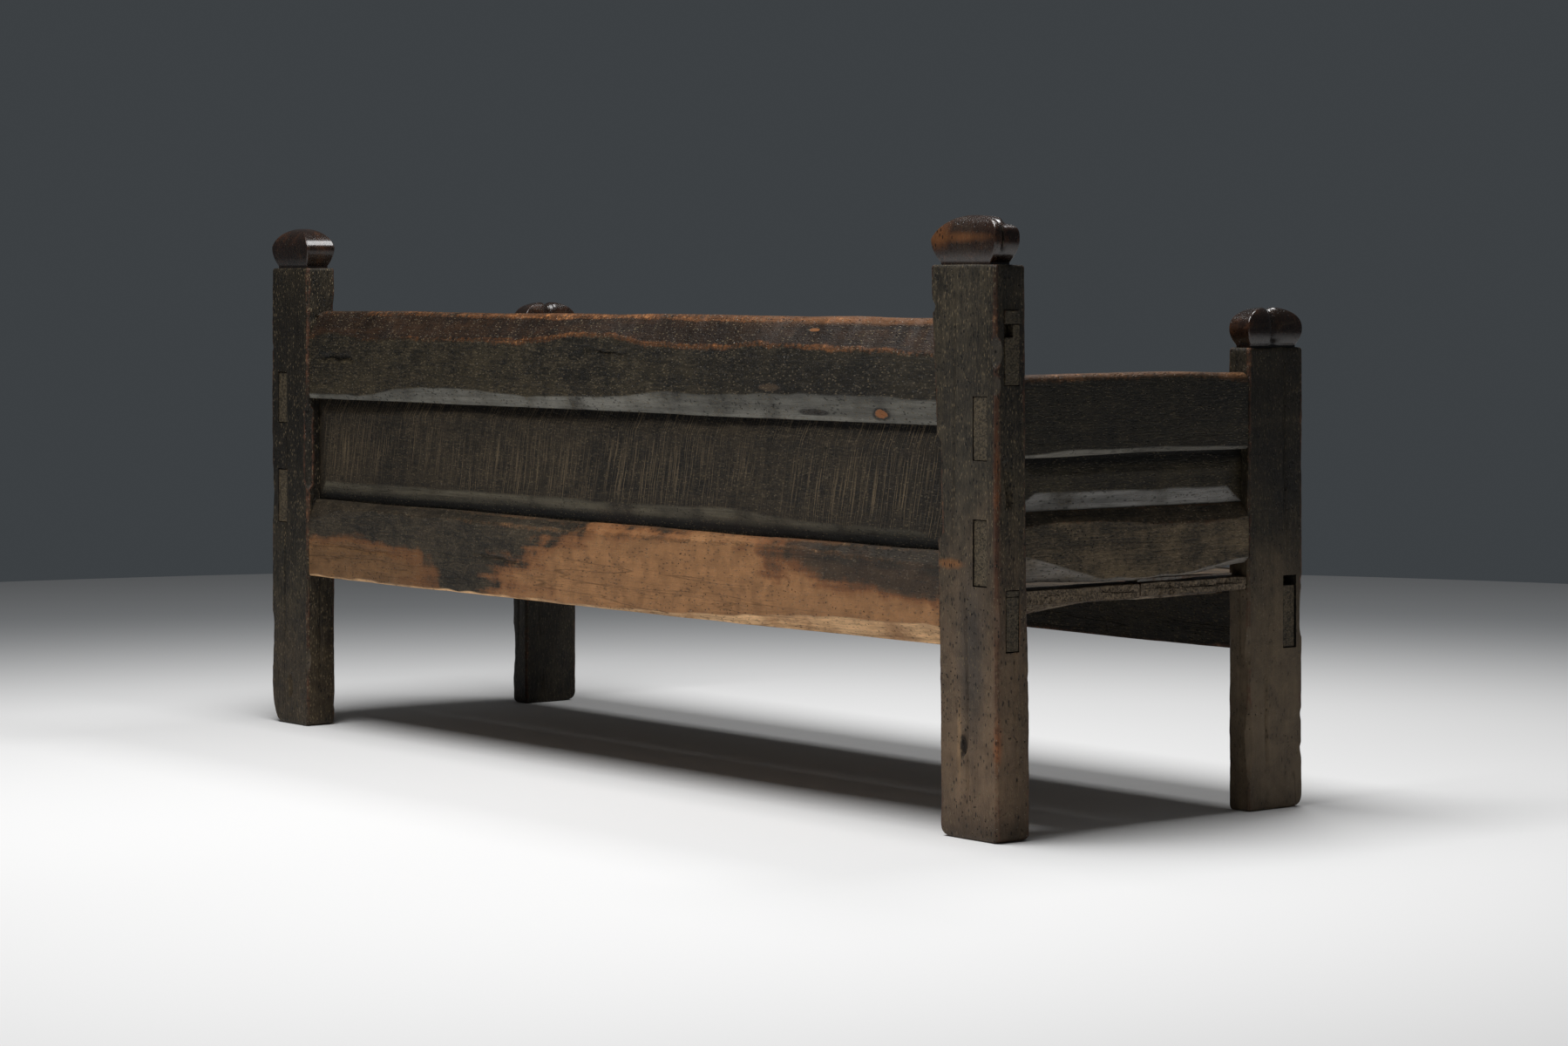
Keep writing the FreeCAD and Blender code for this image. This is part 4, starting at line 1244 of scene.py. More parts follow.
class Workshop:
    """What every sub-assembly shares: effects, tool marks, finishes and the way to finish a piece."""

    def __init__(self, bench: list[list[float]]) -> None:
        """Sets the shared tools up.

        Args:
            bench: The lowest and the highest point of the bench's box.
        """
        self.bench = np.array(bench)
        self.effects, self.marks, self.pegs = SurfaceEffects(), ToolMarks(), PegSetter()
        self.finishes: dict[str, Material] = {}

    def finish(self, wood: WoodFinish) -> Material:
        """Gives a finish's material, built once.

        Args:
            wood: The finish.

        Returns:
            The material.
        """
        if wood.name not in self.finishes:
            self.finishes[wood.name] = wood.material(self.effects)
        return self.finishes[wood.name]

    def timber(self, node: str, timbers: list[Timber], wood: WoodFinish, sockets: list[Timber] | None = None,
               end: End = End.LEFT, wave: float = WAVE, ripple: float = RIPPLE, room: float = 0.0) -> None:
        """Makes one finished timber in place of its CAD node.

        Args:
            node: The node's name.
            timbers: The swept shapes that it is made of.
            wood: Its finish.
            sockets: What is cut out of it.
            end: The end that it is turned to, where it is drawn for the left end.
            wave: Height of its long waves.
            ripple: Height of its short ripples.
            room: How far it may lean out of its node's box.
        """
        for part in timbers + (sockets or []):
            part.mirrored = part.mirrored or end is End.RIGHT
        parts = [timber.piece(f"{node}.wood") for timber in timbers]
        for part in parts:
            self.marks.hew(part, timbers[0].axis, self.finish(wood), timbers[0].seed, wave, ripple)
        if sockets:
            self.cut(parts[0], sockets)
        if sockets or len(parts) > 1:
            welded(parts)
        self.settle(parts[0], node, room)

    def cut(self, piece: Object, sockets: list[Timber]) -> None:
        """Cuts sockets out of a piece.

        Args:
            piece: The object.
            sockets: The shapes to cut away.
        """
        cutters = [socket.piece("cutter") for socket in sockets]
        for cutter in cutters:
            cutter.data.materials.append(self.finish(SOCKET_WOOD))
            modifier = piece.modifiers.new("socket", "BOOLEAN")
            modifier.operation, modifier.solver, modifier.material_mode = "DIFFERENCE", "EXACT", "TRANSFER"
            modifier.object = cutter
        made_plain(piece)
        for cutter in cutters:
            discard(cutter)

    def settle(self, piece: Object, node: str, room: float = 0.0) -> None:
        """Keeps a piece in its node's box, shades it and puts it in the node's place.

        Args:
            piece: The object.
            node: The CAD node.
            room: How far it may lean out of that box, inside the bench's box.
        """
        mesh = piece.data
        low, high = (np.array(corner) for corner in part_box(node))
        low = np.maximum(low - room, self.bench[0])
        high = np.minimum(high + room, self.bench[1])
        points = np.empty(len(mesh.vertices) * 3, dtype=np.float32)
        mesh.vertices.foreach_get("co", points)
        kept = np.clip(points.reshape(-1, 3), low, high)
        mesh.vertices.foreach_set("co", kept.astype(np.float32).ravel())
        mesh.polygons.foreach_set("use_smooth", np.ones(len(mesh.polygons), dtype=bool))
        mesh.set_sharp_from_angle(angle=SMOOTH_ANGLE)
        mesh.update()
        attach(piece, "root")
        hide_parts(node)
        LOG.info("%s: %d faces", piece.name, len(mesh.polygons))


# Painted shade: a near-black colour laid in patches where posts, the top rail and the back panel should fall into
# shadow.
PAINTED_SHADE = (0.0065, 0.005, 0.0033)
# Painted shadow: the near-black colour of the gaps where the back panel runs into its rails.
PAINTED_GAP_SHADOW = (0.0015, 0.0012, 0.001)
TENON_GRAIN = (0.11, 0.084, 0.05)
POST_WOOD = WoodFinish(
    "waxed_post", Axis.UP, dark=(0.0075, 0.006, 0.0037), brown=(0.05, 0.0385, 0.0215), wear=0.22, swarm=0.44,
    grit=0.85, flecks=0.6, end=TENON_GRAIN, silver=(0.125, 0.105, 0.08),
    patches=(
        # Painted sheen: a greyish haze laid over the left rear post's back face.
        Patch((-0.93, 0.321, 0.46), (0.05, 0.02, 0.42), (0.066, 0.056, 0.042), 0.4, 0.8, 1.0),
        Patch((-1.0, 0.321, 0.43), (0.008, 0.008, 0.36), (0.12, 0.044, 0.022), 0.8, 0.6, 0.7),
        # Painted shade: darkens the upper part of the left rear post's outer end face.
        Patch((-0.995, 0.29, 0.74), (0.03, 0.028, 0.14), PAINTED_SHADE, 0.6, 0.6, 0.9),
        Patch((-0.937, 0.31, 0.08), (0.1, 0.08, 0.26), (0.26, 0.165, 0.098), 0.6, 0.8, 1.5),
        # Painted sheen: a grey patch low on the left rear post's back face, as if it reflected the floor.
        Patch((-0.943, 0.321, 0.25), (0.026, 0.02, 0.11), (0.042, 0.039, 0.036), 0.7, 0.7, 1.3),
        Patch((-0.937, 0.291, 0.0), (0.12, 0.08, 0.035), (0.036, 0.024, 0.015), 0.65, 0.8, 1.2),
        Patch((-0.917, 0.321, 0.145), (0.004, 0.01, 0.055), (0.33, 0.205, 0.105), 0.6, 0.7, 1.4),
        Patch((-0.892, 0.321, 0.396), (0.026, 0.012, 0.006), (0.27, 0.112, 0.035), 0.85, 0.7, 2.0),
        Patch((-1.0, 0.321, 0.14), (0.007, 0.008, 0.03), (0.3, 0.1, 0.03), 0.7, 0.7, 1.6),
        Patch((-1.0, 0.321, 0.52), (0.006, 0.007, 0.06), (0.3, 0.105, 0.03), 0.65, 0.7, 1.8),
        Patch((-1.0, 0.284, 0.315), (0.006, 0.009, 0.03), (0.24, 0.096, 0.03), 0.65, 0.7, 1.8),
        Patch((-0.868, 0.321, 0.868), (0.02, 0.03, 0.014), (0.25, 0.098, 0.032), 0.55, 0.8, 1.6),
        Patch((-0.92, 0.321, 0.868), (0.05, 0.02, 0.006), (0.2, 0.08, 0.028), 0.6, 0.9, 1.6),
        # Painted shade: darkens the upper part of the left front post.
        Patch((-0.962, -0.262, 0.62), (0.06, 0.07, 0.2), PAINTED_SHADE, 0.7, 0.5, 0.7),
        Patch((-0.962, -0.26, 0.08), (0.06, 0.12, 0.26), (0.185, 0.132, 0.08), 0.75, 0.6, 0.9),
        # Painted shade: darkens the upper part of the right rear post.
        Patch((0.937, 0.291, 0.6), (0.12, 0.08, 0.3), PAINTED_SHADE, 0.72, 0.6, 0.8),
        # Painted shade: darkens most of the right front post.
        Patch((0.962, -0.262, 0.5), (0.06, 0.12, 0.4), PAINTED_SHADE, 0.6, 0.6, 0.8),
        Patch((0.937, 0.3, 0.06), (0.1, 0.08, 0.14), (0.06, 0.038, 0.02), 0.4, 0.6, 0.9)),
    knots=(Knot((-0.924, 0.321, 0.134), (0.004, 0.012, 0.014), (0.008, 0.005, 0.004)),))
FRONT_POST_WOOD = replace(POST_WOOD, name="polished_front_post", grit=0.4, flecks=0.35, swarm=0.4)
RAIL_WOOD = WoodFinish(
    "dark_rail", Axis.ALONG, dark=(0.0065, 0.0054, 0.0033), brown=(0.04, 0.0305, 0.016), wear=0.32,
    rubbed=(0.14, 0.056, 0.02), bare=(0.38, 0.165, 0.058), wane=(0.027, 0.0128, 0.0056),
    silver=(0.265, 0.256, 0.22), speck=(0.36, 0.33, 0.28), end=(0.1, 0.078, 0.046),
    # Painted shade: darkens a band of the top rail's back face, left of the middle.
    patches=(Patch((-0.62, 0.318, 0.665), (0.34, 0.05, 0.05), PAINTED_SHADE, 0.5, 0.6, 0.9),
             Patch((-0.68, 0.292, 0.748), (0.26, 0.03, 0.007), (0.2, 0.086, 0.032), 0.6, 0.5, 1.6)),
    knots=(
        Knot((-0.727, 0.308, 0.607), (0.016, 0.03, 0.008), (0.3, 0.105, 0.028)),
        Knot((-0.566, 0.308, 0.606), (0.03, 0.03, 0.004), (0.016, 0.011, 0.008)),
        Knot((-0.47, 0.318, 0.642), (0.03, 0.012, 0.007), (0.06, 0.04, 0.024)),
        Knot((-0.56, 0.3, 0.731), (0.016, 0.03, 0.003), (0.2, 0.08, 0.026))))
ARM_RAIL_WOOD = WoodFinish(
    "dark_arm_rail", Axis.ACROSS, dark=(0.006, 0.005, 0.003), brown=(0.023, 0.0185, 0.0105), wear=0.22,
    rubbed=(0.105, 0.048, 0.02), wane=(0.11, 0.052, 0.023), bare=(0.3, 0.15, 0.065), saw=0.05, checks=0.2,
    flecks=0.3, grit=0.35, silver=(0.2, 0.188, 0.16), end=TENON_GRAIN)
END_RAIL_WOOD = WoodFinish(
    "brown_end_rail", Axis.ACROSS, dark=(0.026, 0.0202, 0.0122), brown=(0.155, 0.112, 0.063), wear=0.22,
    rubbed=(0.12, 0.058, 0.027), wane=(0.014, 0.011, 0.007), bare=(0.24, 0.13, 0.062), saw=0.05, checks=0.2,
    fleck=(0.19, 0.142, 0.088), silver=(0.27, 0.25, 0.225), grit=0.5, end=TENON_GRAIN)
SCUFFED_WOOD = WoodFinish(
    "scuffed_rail", Axis.ALONG, dark=(0.0115, 0.0094, 0.0062), brown=(0.052, 0.039, 0.024), wear=0.12, swarm=0.5,
    wane=(0.036, 0.026, 0.016), rubbed=(0.13, 0.07, 0.034), bare=(0.36, 0.2, 0.09), silver=(0.92, 0.56, 0.28),
    grit=0.4, end=TENON_GRAIN,
    patches=(
        Patch((0.73, 0.318, 0.29), (0.24, 0.055, 0.052), (0.22, 0.11, 0.043), 0.9, 0.3, 1.2, 0.6, True),
        Patch((-0.36, 0.318, 0.31), (0.55, 0.055, 0.1), (0.375, 0.183, 0.074), 0.95, 0.24, 1.3, 0.7, True),
        Patch((-0.74, 0.318, 0.392), (0.28, 0.055, 0.052), (0.03, 0.0225, 0.015), 0.92, 0.22, 1.4, 0.8, True)))
PANEL_WOOD = WoodFinish(
    "sawn_panel", Axis.ALONG, dark=(0.0072, 0.0056, 0.0035), brown=(0.034, 0.025, 0.0147), wear=0.05, saw=0.85,
    saw_colour=(0.16, 0.115, 0.066), roughness=0.6, flecks=0.35, grit=0.4, silver=(0.125, 0.108, 0.074),
    # Painted shade: darkens the left end of the back panel.
    patches=(Patch((-0.8, 0.304, 0.5), (0.14, 0.05, 0.1), PAINTED_SHADE, 0.5, 0.6, 0.9),
             # Painted shadow: near-black bands where the back panel runs into the bottom rail and the top rail.
             Patch((0.0, 0.294, 0.413), (3.0, 0.03, 0.016), PAINTED_GAP_SHADOW, 0.96, 0.5, 0.15),
             Patch((0.0, 0.294, 0.594), (3.0, 0.03, 0.012), PAINTED_GAP_SHADOW, 0.96, 0.5, 0.15)))
END_PANEL_WOOD = WoodFinish(
    "planed_end_panel", Axis.ACROSS, dark=(0.011, 0.0092, 0.0056), brown=(0.044, 0.035, 0.02), wear=0.05,
    saw=0.05, checks=0.2, flecks=0.4, grit=0.4, silver=(0.23, 0.223, 0.208),
    # Painted shadow: a near-black band along the top bevel of each end panel, under the arm rail.
    patches=tuple(Patch((0.97 * end.value, 0.03, 0.549), (0.05, 0.8, 0.014), (0.002, 0.0016, 0.0012), 0.95, 0.5, 0.15)
                  for end in End))
SEAT_WOOD = WoodFinish(
    "seat_board", Axis.ALONG, dark=(0.026, 0.018, 0.01), brown=(0.095, 0.062, 0.035), end=(0.23, 0.172, 0.112))
FRONT_RAIL_WOOD = WoodFinish(
    "seat_rail", Axis.ALONG, dark=(0.006, 0.005, 0.0031), brown=(0.024, 0.0185, 0.0102), wear=0.26,
    end=TENON_GRAIN)
BEARER_WOOD = WoodFinish(
    "riven_bearer", Axis.ACROSS, dark=(0.12, 0.094, 0.068), brown=(0.4, 0.315, 0.22), wear=0.1, roughness=0.7)
PEG_WOOD = WoodFinish(
    "peg_and_wedge", Axis.ACROSS, dark=(0.013, 0.01, 0.0064), brown=(0.062, 0.047, 0.028), wear=0.0)
SOCKET_WOOD = WoodFinish(
    "socket_walls", Axis.UP, dark=(0.004, 0.003, 0.002), brown=(0.016, 0.012, 0.008), wear=0.0, flecks=0.15,
    roughness=0.8)


@dataclass
class Tenon:
    """A tenon on a timber's end."""

    end: float
    low: Pair
    high: Pair

    def sections(self, shoulder: float, sides: int = SIDES) -> tuple[Array, Array]:
        """The stations and sections of the tenon, from its end to its shoulder.

        Args:
            shoulder: Where it meets the timber.
            sides: Number of points in the timber's section.

        Returns:
            The stations and the corner points.
        """
        inward = math.copysign(TENON_BEVEL, shoulder - self.end)
        stations = np.array([self.end, self.end + inward, shoulder])
        trim, legs = np.array(TENON_TRIM), np.full((TENON_STATIONS, 4, 2), TENON_BEVEL)
        (near, bottom), (far, top) = self.low, self.high
        corners = cut_corners(near + trim, bottom + trim, far - trim, top - trim, legs)
        return stations, corners[:, 1:7] if sides == 6 else corners


def rail_masks(count: int, zones: dict[Zone, dict[Side, float]]) -> dict[Zone, Array]:
    """Spreads the zones over a rail with a tenon at each end.

    Args:
        count: Number of stations between the shoulders.
        zones: Share of each zone on the rail's sides.

    Returns:
        The masks, with end grain on the tenons' ends.
    """
    masks = {zone: np.zeros((count + 2 * TENON_STATIONS, SIDES)) for zone in (*zones, Zone.END_GRAIN)}
    for zone, sides in zones.items():
        for side, value in sides.items():
            masks[zone][TENON_STATIONS:-TENON_STATIONS, side] = value
    masks[Zone.END_GRAIN][[0, 1, -2, -1]] = 1.0
    return masks


@dataclass
class Finial:
    """The carved head of a post: a thin neck, a flare and a domed crown, cut by two crossing profiles."""

    shoulder: float
    swell: float
    top: float
    neck_inset: Pair
    arch: tuple[float, float, float]
    clefts: tuple[Cleft, ...] = ()
    front_step: Pair = (0.0, 0.0)
    neck_height: float = 0.003
    tip: float = 0.0016

    def stations(self) -> Array:
        """Heights of the sections, closest where the outline turns fastest.

        Returns:
            The heights.
        """
        under = self.shoulder + self.neck_height
        flare = np.linspace(under, self.swell, 14)
        crown = self.swell + (self.top - self.swell) * np.sin(np.linspace(0.0, math.pi / 2.0, 24))[1:]
        return np.concatenate([[self.shoulder, under - 0.0006], flare, crown])

    def sections(self, heights: Array, full: Array) -> tuple[Array, Array]:
        """Half widths on the near and low sides, and on the far and high sides.

        Args:
            heights: Heights above the floor.
            full: Half widths of the post.

        Returns:
            Two half widths for each height, for either pair of sides.
        """
        under = self.shoulder + self.neck_height
        rise = np.clip((heights - under) / (self.swell - under), 0.0, 1.0)[:, None]
        over = np.clip((heights - self.swell) / (self.top - self.swell), 0.0, 1.0)[:, None]
        flare = full - np.array(self.neck_inset) * (1.0 - rise) ** 2
        near, far, across = self.arch
        crowns = [full * np.sqrt(np.maximum(1.0 - over ** np.array(arch), 0.0))
                  for arch in ((near, across), (far, across))]
        near_half, far_half = (np.maximum(np.minimum(flare, crown), self.tip) for crown in crowns)
        return near_half, far_half


@dataclass
class Post:
    """A post with a carved finial, hewn faces and a worn foot."""

    node: str
    low: Pair
    high: Pair
    finial: Finial
    foot_wear: tuple[tuple[Side, float, float], ...]
    chamfer: tuple[Corner, float, float, float] | None
    grooves: tuple[Groove, ...]
    bites: tuple[Bite, ...]
    seed: int
    lean: dict[Side, Line] = field(default_factory=dict)

    def timber(self) -> Timber:
        """Sweeps the post from its foot to the top of its finial.

        Returns:
            The swept timber, built as a left post.
        """
        wander = Wander(self.seed)
        shaft = np.concatenate([FOOT_STEPS, np.arange(0.011, self.finial.shoulder - 0.006, STATION_STEP),
                                self.finial.shoulder - np.array(SHOULDER_STEPS)])
        soft = np.zeros(len(shaft))
        soft[:4] = soft[-1:-5:-1] = END_SOFTNESS
        hewn = {side: 0.0004 * (1 + wander.line(shaft, 0.21)) + soft
                for side in (Side.NEAR, Side.LOW, Side.FAR, Side.HIGH)}
        low = np.stack([self.low[0] + hewn[Side.NEAR], self.low[1] + hewn[Side.LOW]], axis=1)
        high = np.stack([self.high[0] - hewn[Side.FAR], self.high[1] - hewn[Side.HIGH]], axis=1)
        faces = {Side.NEAR: low[:, 0], Side.LOW: low[:, 1], Side.FAR: high[:, 0], Side.HIGH: high[:, 1]}
        for side, line in self.lean.items():
            faces[side] += flowing(shaft, line)
        for side, width, height in self.foot_wear:
            lift = np.clip(1.0 - shaft / height, 0.0, 1.0)
            worn = width * (1.0 - np.sqrt(np.maximum(1.0 - lift * lift, 0.0)))
            faces[side] += worn if side in (Side.NEAR, Side.LOW) else -worn
        legs = worn_legs(shaft, wander, 0.003, 0.0055, self.bites)
        if self.chamfer:
            corner, size, bottom, top = self.chamfer
            stop = np.clip(np.minimum(shaft - bottom, top - shaft) / 0.012, 0.0, 1.0)
            cut = size * stop * (1.0 + 0.12 * wander.line(shaft, 0.03))
            legs[:, corner] = np.maximum(legs[:, corner], cut[:, None])
        shaft_corners = cut_corners(*low.T, *high.T, legs)
        rubbed = np.ones((len(shaft), SIDES))
        chips = np.zeros((len(shaft), SIDES))
        for bite in self.bites:
            hit = np.clip(1.6 - 1.4 * np.abs(shaft - bite.place) / bite.length, 0.0, 1.0)
            chips[:, 2 * bite.corner] = np.maximum(chips[:, 2 * bite.corner], hit)
            for point in (2 * bite.corner, 2 * bite.corner + 1):
                rubbed[:, point] = np.minimum(rubbed[:, point], 1.0 - 0.85 * hit)
        heights = self.finial.stations()
        far_corner = high[FULL_STATION]
        base = low[FULL_STATION] + np.array(self.finial.front_step)
        middle = (far_corner + base) / 2.0
        near_half, far_half = self.finial.sections(heights, (far_corner - base) / 2.0)
        thin = near_half.min(axis=1) / near_half.min(axis=1).max()
        head_legs = np.full((len(heights), 4, 2), 0.0016) * thin[:, None, None]
        head_corners = cut_corners(*(middle - near_half).T, *(middle + far_half).T, head_legs)
        stations = np.concatenate([shaft, heights])
        rounding = np.concatenate([np.full((len(shaft), SIDES), 0.0012), np.full((len(heights), SIDES), 0.0014)])
        head = np.ones((len(heights), SIDES))
        zones = {Zone.CARVED: np.concatenate([0.0 * chips, head]), Zone.SILVER: np.concatenate([chips, 0.0 * head])}
        return Timber(Axis.UP, stations, np.concatenate([shaft_corners, head_corners]), rounding,
                      spacing=0.0032, zones=zones, grooves=self.grooves, clefts=self.finial.clefts,
                      rubbed=np.concatenate([rubbed, head]), seed=self.seed)


@dataclass
class Posts:
    """The four posts and the sockets that the rails and panels fit in."""

    shop: Workshop
    rear_low: Pair = (-1.0, 0.261)
    rear_high: Pair = (-0.874, 0.321)
    front_low: Pair = (-0.984, -0.321)
    front_high: Pair = (-0.939, -0.203)
    gap: float = 0.0007
    wobble: float = 0.0006
    reach: float = 0.006
    lean_room: float = 0.024

    def build(self) -> None:
        """Builds the four posts."""
        for end in End:
            post = self.rear_post(end)
            room = self.lean_room if post.lean else 0.0
            self.shop.timber(post.node, [post.timber()], POST_WOOD, self.rear_sockets(end), end, room=room)
            post = self.front_post(end)
            self.shop.timber(post.node, [post.timber()], FRONT_POST_WOOD, self.front_sockets(end), end)

    def rear_post(self, end: End) -> Post:
        """A rear post.

        Args:
            end: Which one.

        Returns:
            The post.
        """
        chamfer = (Corner.FAR_HIGH, 0.012, 0.425, 0.585)
        lean: dict[Side, Line] = {}
        if end is End.LEFT:
            broken = (Cleft((-0.994, 0.305), (0.66, 0.75), 0.003, 0.0, 0.011, (0.862, 0.901), True),
                      Cleft((-0.93, 0.303), (0.0, 1.0), 0.0035, 0.05, 0.0, (0.845, 0.89)))
            finial = Finial(0.829, 0.866, 0.901, (0.017, 0.005), (3.4, 1.15, 2.4), broken, (0.0, 0.01))
            lean = {Side.FAR: ((0.0, 0.0), (0.25, 0.002), (0.6, 0.011), (0.83, 0.022)),
                    Side.NEAR: ((0.0, 0.0), (0.5, 0.002), (0.83, 0.004)),
                    Side.LOW: ((0.0, -0.006), (0.29, -0.005), (0.34, 0.0), (0.83, 0.0))}
            wear = ((Side.FAR, 0.018, 0.018), (Side.NEAR, 0.006, 0.012))
            grooves = (
                Groove(Side.HIGH, 0.05, 0.36, -0.934, 0.003, 0.0028, 0.004),
                Groove(Side.HIGH, 0.12, 0.155, -0.927, 0.006, 0.006),
                Groove(Side.HIGH, 0.42, 0.8, -0.906, 0.003, 0.002, -0.006),
                Groove(Side.NEAR, 0.48, 0.545, 0.297, 0.006, 0.008, 0.004),
                Groove(Side.NEAR, 0.03, 0.42, 0.284, 0.0025, 0.002, 0.006))
            bites = (Bite(Corner.NEAR_HIGH, 0.703, 0.022, 0.011), Bite(Corner.NEAR_HIGH, 0.655, 0.014, 0.007),
                     Bite(Corner.FAR_HIGH, 0.768, 0.008, 0.008), Bite(Corner.NEAR_HIGH, 0.32, 0.03, 0.005))
        else:
            finial = Finial(0.829, 0.866, 0.901, (0.013, 0.007), (1.35, 1.35, 2.2))
            wear = ((Side.NEAR, 0.035, 0.075), (Side.FAR, 0.006, 0.012))
            grooves = (
                Groove(Side.HIGH, 0.2, 0.6, -0.95, 0.003, 0.0025, 0.006),
                Groove(Side.FAR, 0.05, 0.3, 0.292, 0.003, 0.002),
                Groove(Side.HIGH, 0.05, 0.09, -0.935, 0.006, 0.006))
            bites = (Bite(Corner.NEAR_HIGH, 0.42, 0.05, 0.005), Bite(Corner.NEAR_HIGH, 0.15, 0.05, 0.005),
                     Bite(Corner.FAR_HIGH, 0.12, 0.02, 0.005))
        return Post(f"rear_post_{end.word}", self.rear_low, self.rear_high, finial, wear, chamfer,
                    grooves, bites, 11 if end is End.LEFT else 12, lean)

    def front_post(self, end: End) -> Post:
        """A front post.

        Args:
            end: Which one.

        Returns:
            The post.
        """
        cleft = (Cleft((-0.9615, -0.262), (0.0, 1.0), 0.0075, 0.24, 0.005, (0.704, 0.766)),)
        finial = Finial(0.704, 0.732, 0.766, (0.007, 0.009), (2.2, 2.2, 2.5), cleft)
        grooves = (
            Groove(Side.HIGH, 0.1, 0.5, -0.962, 0.0025, 0.002),
            Groove(Side.NEAR, 0.06, 0.22, -0.24, 0.003, 0.0025, 0.004),
            Groove(Side.NEAR, 0.4, 0.69, -0.282, 0.003, 0.0025, 0.006))
        bites = (Bite(Corner.NEAR_HIGH, 0.1, 0.05, 0.006), Bite(Corner.NEAR_HIGH, 0.25, 0.03, 0.005),
                 Bite(Corner.NEAR_LOW, 0.3, 0.04, 0.006))
        return Post(f"front_post_{end.word}", self.front_low, self.front_high, finial,
                    ((Side.LOW, 0.018, 0.018),), None, grooves, bites, 13 if end is End.LEFT else 14)

    def rear_sockets(self, end: End) -> list[Timber]:
        """What is cut out of a rear post, at the left end's place.

        Args:
            end: Which post.

        Returns:
            Mortises, wedge slots and grooves.
        """
        seed = 40 if end is End.LEFT else 60
        outer, inner = self.rear_low[0] - self.reach, self.rear_high[0] + self.reach + self.lean_room
        front, back = self.rear_low[1] - self.reach, self.rear_high[1] + self.reach
        cuts = ((Axis.ALONG, outer, inner, (0.275, 0.655), (0.303, 0.743)),
                (Axis.ALONG, outer, -0.955, (0.275, 0.7438), (0.303, 0.763)),
                (Axis.ALONG, outer, inner, (0.277, 0.273), (0.301, 0.352)),
                (Axis.ALONG, outer, -0.955, (0.277, 0.3528), (0.301, 0.361)),
                (Axis.ACROSS, front, back, (-0.9765, 0.547), (-0.9465, 0.639)),
                (Axis.ACROSS, front, back, (-0.9765, 0.366), (-0.9465, 0.462)))
        split = [block(Axis.UP, 0.852, 0.889, (-1.008, 0.3022), (-0.986, 0.3038), seed + 10, wobble=self.wobble)]
        return (split if end is End.LEFT else []) + self.mortises(cuts, seed) + [
            block(Axis.ALONG, -0.886, inner, (0.2838, 0.4), (0.2942, 0.605), seed + 7),
            block(Axis.ACROSS, front, 0.273, (-0.9667, 0.459), (-0.9563, 0.5462), seed + 8)]

    def mortises(self, cuts: tuple, seed: int) -> list[Timber]:
        """Rough mortises with a little slack; each cut has the first five sizes of a block."""
        return [block(*cut, seed + number, self.gap, self.wobble) for number, cut in enumerate(cuts, 1)]

    def front_sockets(self, end: End) -> list[Timber]:
        """What is cut out of a front post, at the left end's place.

        Args:
            end: Which post.

        Returns:
            Mortises and the panel groove.
        """
        seed = 80 if end is End.LEFT else 90
        outer, inner = self.front_low[0] - self.reach, self.front_high[0] + self.reach
        back = self.front_high[1] + self.reach
        cuts = ((Axis.ALONG, outer, inner, (-0.3055, 0.245), (-0.2785, 0.355)),
                (Axis.ACROSS, -0.283, back, (-0.9705, 0.563), (-0.9525, 0.639)),
                (Axis.ACROSS, -0.283, back, (-0.9705, 0.382), (-0.9525, 0.462)))
        return self.mortises(cuts, seed) + [
            block(Axis.ACROSS, -0.215, back, (-0.9667, 0.464), (-0.9563, 0.5618), seed + 4)]


@dataclass
class FieldedPanel:
    """A panel with a thin tongue all round and a field raised towards one side."""

    axis: Axis
    span: Pair
    height: Pair
    field_height: tuple[Line, Line]
    bevels: Pair
    plain: float
    tongue: float
    raised: float
    edge: float
    seed: int

    def timber(self) -> Timber:
        """Sweeps the panel along its length.

        Returns:
            The swept panel.
        """
        wander = Wander(self.seed)
        start, end = self.span
        stations = np.concatenate([[start, start + 0.002],
                                   np.arange(start + 0.006, end - 0.004, 0.0048), [end - 0.002, end]])
        rise = np.clip(np.minimum((stations - start - self.edge) / self.bevels[0],
                                  (end - self.edge - stations) / self.bevels[1]), 0.0, 1.0)
        bottom = flowing(stations, self.field_height[0]) + 0.0014 * wander.line(stations, 0.05)
        top = flowing(stations, self.field_height[1]) + 0.0014 * wander.line(stations, 0.05)
        bottom = bottom * rise + (self.height[0] + self.edge + 0.001) * (1.0 - rise)
        top = top * rise + (self.height[1] - self.edge - 0.001) * (1.0 - rise)
        face = self.tongue + (self.raised - self.tongue) * rise
        plain, tongue, (low, high) = self.plain, self.tongue, self.height
        outline = [(plain, low), (tongue, low), (tongue, low + self.edge), (face, bottom), (face, top),
                   (tongue, high - self.edge), (tongue, high), (plain, high)]
        turned = self.raised < self.plain
        corners = outlined(outline[::-1] if turned else outline)
        # Painted floor light: the lower bevel, which looks down, is laid pale grey as if lit from the floor.
        floor_lit_bevel = np.zeros(SIDES)
        floor_lit_bevel[4 if turned else 2] = 1.0
        return Timber(self.axis, stations, corners, 0.0022, spacing=0.0036,
                      zones={Zone.SILVER: floor_lit_bevel}, rubbed=np.zeros(SIDES), seed=self.seed)


